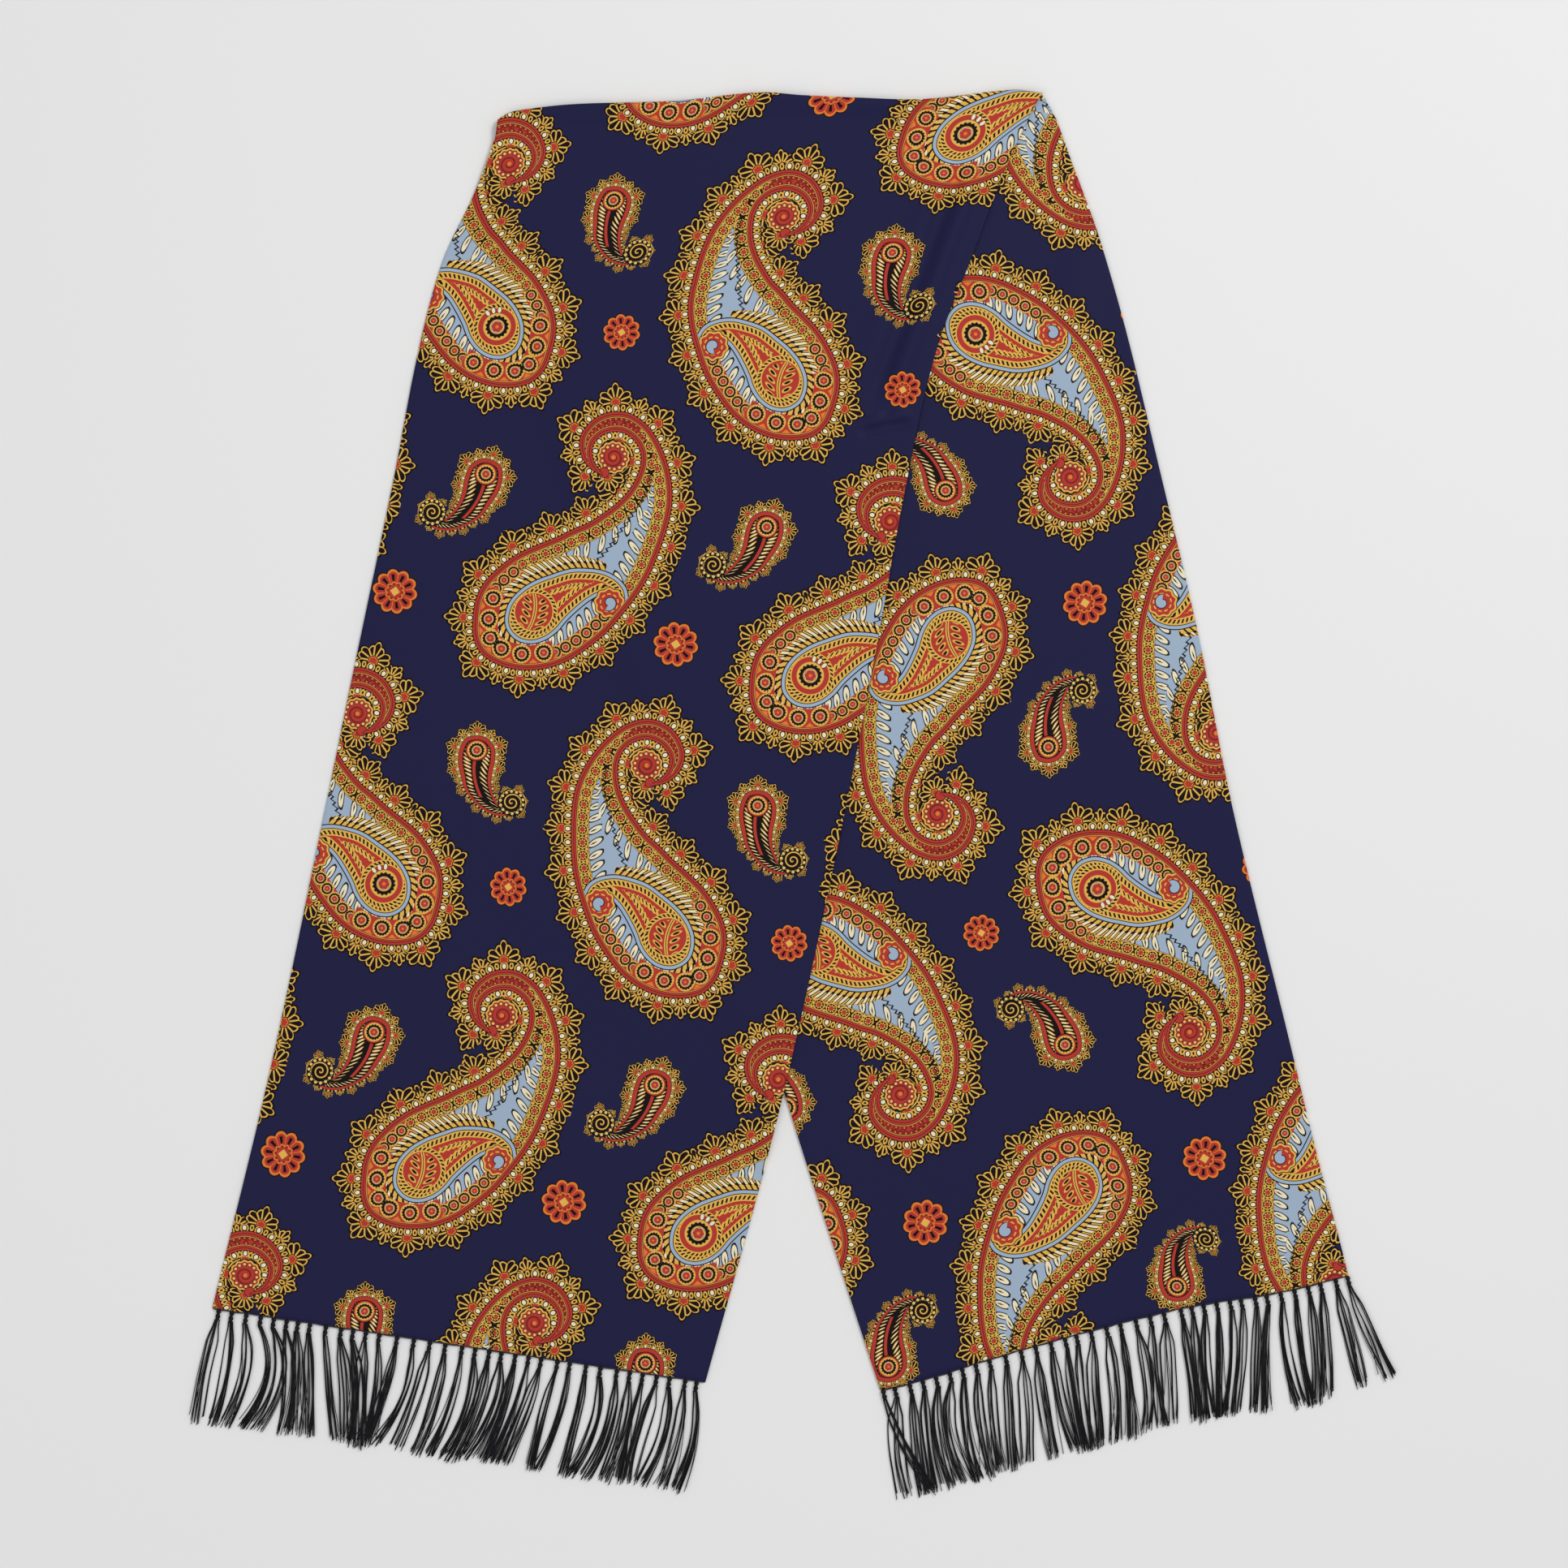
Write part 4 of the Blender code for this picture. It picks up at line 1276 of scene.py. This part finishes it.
across = np.linspace(0, 1, FOLD_CELLS + 1)[None]
sections = np.concatenate((fold_points(outer, across), fold_points(inner, across)[::-1]), axis=0)
plan = unrolled_plan(unrolled, across)
plans = np.concatenate((plan, plan[::-1]), axis=0)
fold_quads = fold_faces(len(outer))
fold_silk = add_piece("fold_silk", sections.reshape(-1, 3), fold_quads, silk["over"])
store_readings(fold_silk, fold_quads, OVER_PRINT, plans.reshape(-1, 2))
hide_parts("top_fold")
print("fold_silk:", len(fold_quads), "faces")

# %% [markdown]
# ## The hems
# Each hem is a narrow roll of the silk itself, sewn down, from which the tassels hang. It is a
# thin tube along the hem line, a little uneven as a hand-rolled edge is.

# %% The hems
ROLL_RADIUS = 0.45
ROLL_SIDES = 8
ROLL_RINGS = 271
ROLL_HEIGHT = 0.60     # of the roll's middle above the ground
ROLL_END = 0.35        # share of its radius at both ends
WOBBLES = ((0.10, 0.21, 0.0), (0.07, 0.53, 1.0))  # millimetres, radians a ring, phase
HEM_COLOUR = (0.006, 0.006, 0.020)
HEM_THREAD = 0.0007    # metres from one thread to the next
roll_material, roll_shader = plain_material("rolled_hem", HEM_COLOUR, 0.6)
Number.tree = roll_material.node_tree
weave_bump(roll_material.node_tree, roll_shader, 0.0, HEM_THREAD, 0.6)


def build_hem(name, leg):
    """A closed tube along the end of a leg, rolled a little unevenly."""
    spine = leg_plan(leg, np.ones(ROLL_RINGS), np.linspace(0.0, 1.0, ROLL_RINGS))
    ahead = np.gradient(spine, axis=0)
    ahead /= np.linalg.norm(ahead, axis=1)[:, None]
    out = np.stack((ahead[:, 1], -ahead[:, 0]), axis=1)
    ring = np.arange(ROLL_RINGS)
    wobble = sum(size * np.sin(ring * rate + phase) for size, rate, phase in WOBBLES)
    ends = np.ones(ROLL_RINGS)
    ends[0] = ends[-1] = ROLL_END
    turns = FULL_TURN * np.arange(ROLL_SIDES) / ROLL_SIDES
    radius = (ROLL_RADIUS + wobble * 0.5) * ends
    plan = spine[:, None] + out[:, None] * (wobble[:, None] + radius[:, None] * np.cos(turns))[..., None]
    height = ROLL_HEIGHT + radius[:, None] * np.sin(turns)
    points = np.concatenate((plan, height[..., None]), axis=2).reshape(-1, 3)
    return add_piece(name, points, ring_faces(ROLL_RINGS, ROLL_SIDES), roll_material)


over_hem = build_hem("over_hem_roll", OVER_LEG)
under_hem = build_hem("under_hem_roll", UNDER_LEG)
print("Each rolled hem is", 2 * ROLL_RADIUS, "mm thick")

# %% [markdown]
# ## The tassels
# Each tassel is a knot of black threads, and below it fine threads that fan out on the ground in a
# few locks. The tables say how each tassel lies, picked off the photo from left to right.
# Python lays the paths of the threads, and Geometry Nodes give them their round section and set a
# knot on each root.

# %% Tables of the tassels
OVER_TASSELS = [
    # along the hem, sideways at half length, sideways at the tip, length, half spread
    (3.2, -6.6, -11.5, 61, 4.0), (10.4, -3.1, -9.7, 61, 3.1), (18.4, 0.4, -10.6, 61, 3.5),
    (26.4, 3.5, -9.3, 60, 2.2), (33.6, 4.0, -8.9, 60, 4.0), (40.7, 1.3, -2.2, 61, 3.5),
    (46.9, 0.4, -1.3, 61, 3.5), (53.5, 0.9, 0.4, 61, 2.7), (62.3, 2.2, 4.4, 61, 2.2),
    (70.7, 3.1, 3.5, 62, 3.5), (77.3, 3.1, 0.0, 63, 3.5), (84.3, -1.8, -2.2, 63, 3.5),
    (91.7, -1.8, -6.6, 60, 3.1), (101.5, -5.8, -15.0, 55, 3.1), (110.8, -4.4, -19.5, 57, 3.5),
    (119.6, -6.6, -17.3, 59, 4.4), (128.1, -6.2, -15.9, 60, 3.1), (137.4, -5.8, -16.8, 59, 3.1),
    (144.6, -4.0, -16.8, 60, 3.5), (152.3, -6.2, -18.6, 60, 4.0), (159.0, -4.9, -19.5, 58, 3.5),
    (166.7, -6.6, -17.7, 58, 3.1), (174.0, -7.5, -19.5, 57, 3.5), (180.9, -9.3, -19.9, 57, 4.0),
    (189.9, -8.0, -13.7, 59, 3.1), (196.7, -5.3, -16.8, 58, 2.2), (205.7, -5.3, -12.8, 60, 2.7),
    (213.6, -2.7, -15.9, 59, 2.7), (222.7, -3.5, -16.4, 59, 4.0), (229.8, -4.4, -13.7, 60, 3.5),
    (236.9, -6.2, -12.0, 59, 2.7), (244.6, -8.4, -15.0, 58, 4.0), (251.7, -3.1, -14.6, 58, 3.5),
    (260.3, -3.5, -11.5, 58, 4.0), (266.6, -1.8, -10.6, 60, 2.7),
]
UNDER_TASSELS = [
    # along the hem, sideways at half length, sideways at the tip, length, half spread
    (0.8, 10.2, 25.7, 56, 3.1), (7.3, 0.4, 4.4, 59, 4.9), (15.7, 1.8, 5.8, 60, 3.1),
    (23.0, 1.3, 6.2, 60, 3.1), (30.4, 0.4, 8.0, 60, 2.7), (38.1, 0.0, 8.0, 59, 4.4),
    (45.1, 1.3, 8.0, 61, 2.7), (52.7, 1.3, 7.5, 61, 2.7), (60.4, 1.3, 5.3, 60, 3.1),
    (69.3, 1.3, 3.1, 62, 3.5), (78.1, 2.2, 3.1, 60, 5.3), (86.3, 4.0, 8.9, 60, 4.0),
    (94.8, 4.0, 12.0, 59, 3.1), (102.8, 3.5, 8.9, 61, 3.1), (109.2, 2.7, 6.6, 62, 3.1),
    (117.4, 0.9, 3.5, 63, 4.0), (126.0, 3.5, 4.4, 62, 3.5), (133.8, 4.4, 5.8, 62, 3.5),
    (142.5, 5.8, 5.8, 60, 4.0), (150.5, 2.7, 6.2, 59, 3.5), (158.3, 1.3, 2.7, 60, 4.4),
    (167.8, 4.0, 7.1, 60, 3.5), (173.8, 3.1, 6.2, 62, 3.1), (180.5, 0.9, 3.5, 60, 3.1),
    (187.8, 0.4, 0.0, 62, 3.1), (195.3, 0.4, -2.7, 62, 3.1), (201.5, 0.0, -3.5, 62, 3.1),
    (209.4, 0.0, -1.8, 62, 2.2), (215.9, -2.2, -2.2, 63, 2.2), (223.8, 2.2, 9.7, 62, 3.1),
    (231.5, 3.5, 8.9, 62, 3.1), (239.2, 3.1, 4.0, 64, 3.5), (246.1, 1.8, 3.5, 61, 3.5),
    (254.7, 6.6, 13.3, 58, 4.0), (261.4, 10.6, 22.1, 56, 4.4),
]
print("The hems carry", len(OVER_TASSELS), "and", len(UNDER_TASSELS), "tassels")

# %% [markdown]
# A thread leaves its knot close to the others, spreads with its lock and wanders a little on its
# own. One in eight strays far enough to cross its neighbours. Each lock lies in a layer of its own,
# and every thread stays above the ground all the way.

# %% Paths of the threads
THREADS = 22            # in a tassel
LOCKS = 4
THREAD_STEPS = 14
THREAD_RADIUS = 0.22
KNOT_LENGTH = 5.0
ROOT_OUT = 0.4          # of a knot's root beyond the hem
ROOT_HEIGHT = 1.2
NECK_HALF_WIDTH = 1.2   # of the bundle where it leaves the knot
SPREAD_SHARE = 0.92     # of the tassel's half spread that the outermost locks take
SPREAD_BY = 0.25        # share of a thread's length over which its lock spreads out
LOOSE_AT_KNOT = 0.18    # how far the threads of a lock lie from each other, in millimetres
LOOSER_BY_TIP = 0.22
STRAYS = 0.12           # share of the threads that stray
STRAY_REACH = 3.0
STEADY_REACH = 0.15     # of the threads that don't
LENGTHS = (0.93, 1.03)  # shortest and longest thread against the tassel's length
LOCK_BOW = 1.3
RIPPLE = 0.35
RIPPLE_TURN = 8         # radians down a thread
NECK_LEVEL = 0.95       # height of the middle layer where it leaves the knot
TIP_LEVEL = 0.30        # height of the lowest layer at the tips
GROUND_CLEARANCE = 0.25
random_threads = random.Random(7)
gauss, uniform = random_threads.gauss, random_threads.uniform


def draw_lock():
    """A lock's own shift sideways, bow, phase of its ripple, and layer."""
    return uniform(-0.2, 0.2), gauss(0, 0.5), uniform(0, FULL_TURN), uniform(0, 1)


def thread_paths(leg, rows):
    """The knots' places and directions, and every thread's points, in millimetres."""
    left, right = leg_plan(leg, np.ones(2), np.array((0.0, 1.0)))
    width = np.linalg.norm(right - left)
    along = (right - left) / width
    out = np.array((along[1], -along[0]))
    share = np.linspace(0, 1, THREAD_STEPS + 1)
    knots, threads = [], []
    for place, middle, tip, length, spread in rows:
        root = leg_plan(leg, np.ones(1), np.array((place / width,)))[0] + out * ROOT_OUT
        knots.append((*root, ROOT_HEIGHT))
        neck = root + out * KNOT_LENGTH
        sideways = 4 * share * (1 - share) * middle + share * (2 * share - 1) * tip
        locks = [draw_lock() for _ in range(LOCKS)]
        for strand in range(THREADS):
            lock = strand * LOCKS // THREADS
            shift_in, bow, phase, layer = locks[lock]
            offset = 2 * (lock + 0.5) / LOCKS - 1 + shift_in
            apart = gauss(0, LOOSE_AT_KNOT) + gauss(0, LOOSER_BY_TIP) * share
            stray = gauss(0, STEADY_REACH if random_threads.random() > STRAYS else STRAY_REACH)
            stretch = uniform(*LENGTHS)
            spreading = smooth_step(share / SPREAD_BY)
            widen = NECK_HALF_WIDTH + (spread * SPREAD_SHARE - NECK_HALF_WIDTH) * spreading
            ripple = RIPPLE * np.sin(phase + share * RIPPLE_TURN) * share
            bowed = bow * np.sin(np.pi * share) * LOCK_BOW
            x = neck[0] + sideways + offset * widen + bowed + apart + stray * share**2 + ripple
            y = neck[1] + offset * widen * along[1] - share * (length - KNOT_LENGTH) * stretch
            tip_level = TIP_LEVEL + 0.9 * layer + 0.25 * random_threads.random()
            neck_level = NECK_LEVEL + 0.4 * (layer - 0.5)
            z = neck_level * (1 - share) + tip_level * share
            threads.append(np.stack((x, y, np.maximum(z, GROUND_CLEARANCE)), axis=1))
    return knots, threads, math.atan2(out[1], out[0])


print("A tassel has", THREADS, "threads in", LOCKS, "locks")

# %% [markdown]
# The knot is turned from a short profile with two bulges, then twisted threads are pressed into
# it. It has few faces, because there are thirty-five on each hem.

# %% One knot
KNOT_PROFILE = [
    # along, radius
    (-0.6, 0.7), (0.2, 1.30), (1.1, 1.38), (1.9, 0.90), (2.7, 1.25), (3.6, 1.42), (4.5, 1.10), (5.4, 1.0),
]
KNOT_SIDES = 12
KNOT_RINGS = 15
KNOT_FLATNESS = 0.78  # height against width
GROOVES = 3
GROOVE_DEPTH = 0.10   # share of the radius
GROOVE_TWIST = 0.9    # radians a millimetre


def make_knot_mesh():
    """A knot that points along +x, with shallow twisted grooves."""
    stations = np.linspace(KNOT_PROFILE[0][0], KNOT_PROFILE[-1][0], KNOT_RINGS)
    radii = read_row(KNOT_PROFILE, stations)[0]
    turns = FULL_TURN * np.arange(KNOT_SIDES) / KNOT_SIDES
    twisted = turns[None] + stations[:, None] * GROOVE_TWIST
    radius = radii[:, None] * (1 - GROOVE_DEPTH * (np.cos(GROOVES * twisted) > 0))
    along = np.broadcast_to(stations[:, None], radius.shape)
    height = radius * np.sin(turns) * KNOT_FLATNESS
    points = np.stack((along, radius * np.cos(turns), height), axis=-1).reshape(-1, 3)
    faces = ring_faces(len(stations), KNOT_SIDES)[:, ::-1].tolist()
    last = (len(stations) - 1) * KNOT_SIDES
    faces.append(list(range(KNOT_SIDES))[::-1])
    faces.append(list(range(last, last + KNOT_SIDES)))
    mesh = bpy.data.meshes.new("knot")
    mesh.from_pydata((points * MM).tolist(), [], faces)
    mesh.shade_smooth()
    return mesh


knot_source = bpy.data.objects.new("knot_source", make_knot_mesh())
print("One knot has", len(knot_source.data.polygons), "faces")

# %% [markdown]
# The thread is a deep black with little shine. A noise makes some stretches a shade lighter than
# others, so that the heap doesn't read as one dark mass.

# %% Black thread
THREAD_GLOSS = 0.12
THREAD_NOISE = 260.0  # spots of the noise in a metre
thread_material, thread_shader = plain_material("black_thread", (0.006, 0.006, 0.007), 0.55)
thread_shader.inputs["Specular IOR Level"].default_value = THREAD_GLOSS
thread_tree = thread_material.node_tree
thread_noise = thread_tree.nodes.new("ShaderNodeTexNoise")
thread_noise.inputs["Scale"].default_value = THREAD_NOISE
thread_place = thread_tree.nodes.new("ShaderNodeTexCoord")
thread_ramp = thread_tree.nodes.new("ShaderNodeValToRGB")
thread_ramp.color_ramp.elements[0].color = (0.002, 0.002, 0.003, 1.0)
thread_ramp.color_ramp.elements[1].color = (0.012, 0.012, 0.014, 1.0)
thread_tree.links.new(thread_place.outputs["Object"], thread_noise.inputs["Vector"])
thread_tree.links.new(thread_noise.outputs["Fac"], thread_ramp.inputs["Fac"])
thread_tree.links.new(thread_ramp.outputs["Color"], thread_shader.inputs["Base Color"])
print("The thread's material has", len(thread_tree.nodes), "nodes")

# %% [markdown]
# The tree takes a curve object that holds the threads' paths. It gives each path a round section,
# sets the knot on every root, and joins both into one real mesh.

# %% The fringe's Geometry Nodes


def make_fringe_tree():
    """Paths in, a mesh of round threads and knots out, with named inputs for what can change."""
    tree = bpy.data.node_groups.new("fringe", "GeometryNodeTree")
    tree.interface.new_socket("Paths", in_out="INPUT", socket_type="NodeSocketGeometry")
    for label, kind in (("Knot", "NodeSocketObject"), ("Roots", "NodeSocketObject"),
                        ("Thread radius", "NodeSocketFloat"), ("Sides", "NodeSocketInt"),
                        ("Turn", "NodeSocketFloat"), ("Material", "NodeSocketMaterial")):
        tree.interface.new_socket(label, in_out="INPUT", socket_type=kind)
    tree.interface.new_socket("Fringe", in_out="OUTPUT", socket_type="NodeSocketGeometry")
    add, link = tree.nodes.new, tree.links.new
    given, result = add("NodeGroupInput"), add("NodeGroupOutput")
    circle = add("GeometryNodeCurvePrimitiveCircle")
    link(given.outputs["Sides"], circle.inputs["Resolution"])
    link(given.outputs["Thread radius"], circle.inputs["Radius"])
    tube = add("GeometryNodeCurveToMesh")
    tube.inputs["Fill Caps"].default_value = True
    link(given.outputs["Paths"], tube.inputs["Curve"])
    link(circle.outputs["Curve"], tube.inputs["Profile Curve"])
    roots, knot = add("GeometryNodeObjectInfo"), add("GeometryNodeObjectInfo")
    link(given.outputs["Roots"], roots.inputs["Object"])
    link(given.outputs["Knot"], knot.inputs["Object"])
    turn = add("ShaderNodeCombineXYZ")
    link(given.outputs["Turn"], turn.inputs["Z"])
    place = add("GeometryNodeInstanceOnPoints")
    link(roots.outputs["Geometry"], place.inputs["Points"])
    link(knot.outputs["Geometry"], place.inputs["Instance"])
    link(turn.outputs[0], place.inputs["Rotation"])
    join, real = add("GeometryNodeJoinGeometry"), add("GeometryNodeRealizeInstances")
    finish = add("GeometryNodeSetMaterial")
    link(tube.outputs["Mesh"], join.inputs[0])
    link(place.outputs["Instances"], join.inputs[0])
    link(join.outputs[0], real.inputs[0])
    link(real.outputs[0], finish.inputs["Geometry"])
    link(given.outputs["Material"], finish.inputs["Material"])
    link(finish.outputs[0], result.inputs["Fringe"])
    return tree


fringe_tree = make_fringe_tree()
print("The fringe's tree has", len(fringe_tree.nodes), "nodes")

# %% [markdown]
# Each fringe is made on a curve object that carries the tree. The finished mesh is taken off it, and
# the curve, the roots and the single knot are removed again.

# %% The fringes
THREAD_SIDES = 5


def build_fringe(name, leg, rows, node):
    """One hem's knots and threads as a plain mesh, in place of the solid fringe."""
    knots, threads, turn = thread_paths(leg, rows)
    shift = np.array((*FOLD_LEFT_CORNER, 0.0))
    paths = bpy.data.curves.new(name + "_paths", "CURVE")
    paths.dimensions = "3D"
    for points in threads:
        spline = paths.splines.new("POLY")
        spline.points.add(len(points) - 1)
        flat = np.concatenate(((points + shift) * MM, np.ones((len(points), 1))), axis=1)
        spline.points.foreach_set("co", flat.ravel())
    carrier = bpy.data.objects.new(name + "_paths", paths)
    roots = bpy.data.meshes.new(name + "_roots")
    roots.from_pydata(((np.array(knots) + shift) * MM).tolist(), [], [])
    root_object = bpy.data.objects.new(name + "_roots", roots)
    for helper in (carrier, root_object):
        bpy.context.scene.collection.objects.link(helper)
    modifier = carrier.modifiers.new("fringe", "NODES")
    modifier.node_group = fringe_tree
    values = {"Knot": knot_source, "Roots": root_object, "Thread radius": THREAD_RADIUS * MM,
              "Sides": THREAD_SIDES, "Turn": turn, "Material": thread_material}
    for item in fringe_tree.interface.items_tree:
        if item.name in values and item.in_out == "INPUT":
            modifier[item.identifier] = values[item.name]
    evaluated = carrier.evaluated_get(bpy.context.evaluated_depsgraph_get())
    mesh = bpy.data.meshes.new_from_object(evaluated)
    mesh.name = name
    for helper in (carrier, root_object):
        bpy.data.objects.remove(helper)
    piece = bpy.data.objects.new(name, mesh)
    bpy.context.scene.collection.objects.link(piece)
    mesh.shade_smooth()
    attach(piece, "root")
    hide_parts(node)
    print(f"{name}: {len(threads)} threads, {len(mesh.polygons)} faces")
    return piece


bpy.context.scene.collection.objects.link(knot_source)
over_fringe = build_fringe("over_fringe_threads", OVER_LEG, OVER_TASSELS, "over_fringe")
under_fringe = build_fringe("under_fringe_threads", UNDER_LEG, UNDER_TASSELS, "under_fringe")
bpy.data.objects.remove(knot_source)

# %% [markdown]
# ## The cut of the cloth
# What shows is one tube of silk 270 mm wide when pressed flat, so 540 mm all round.

print("The scarf is one tube of silk, 540 mm round")
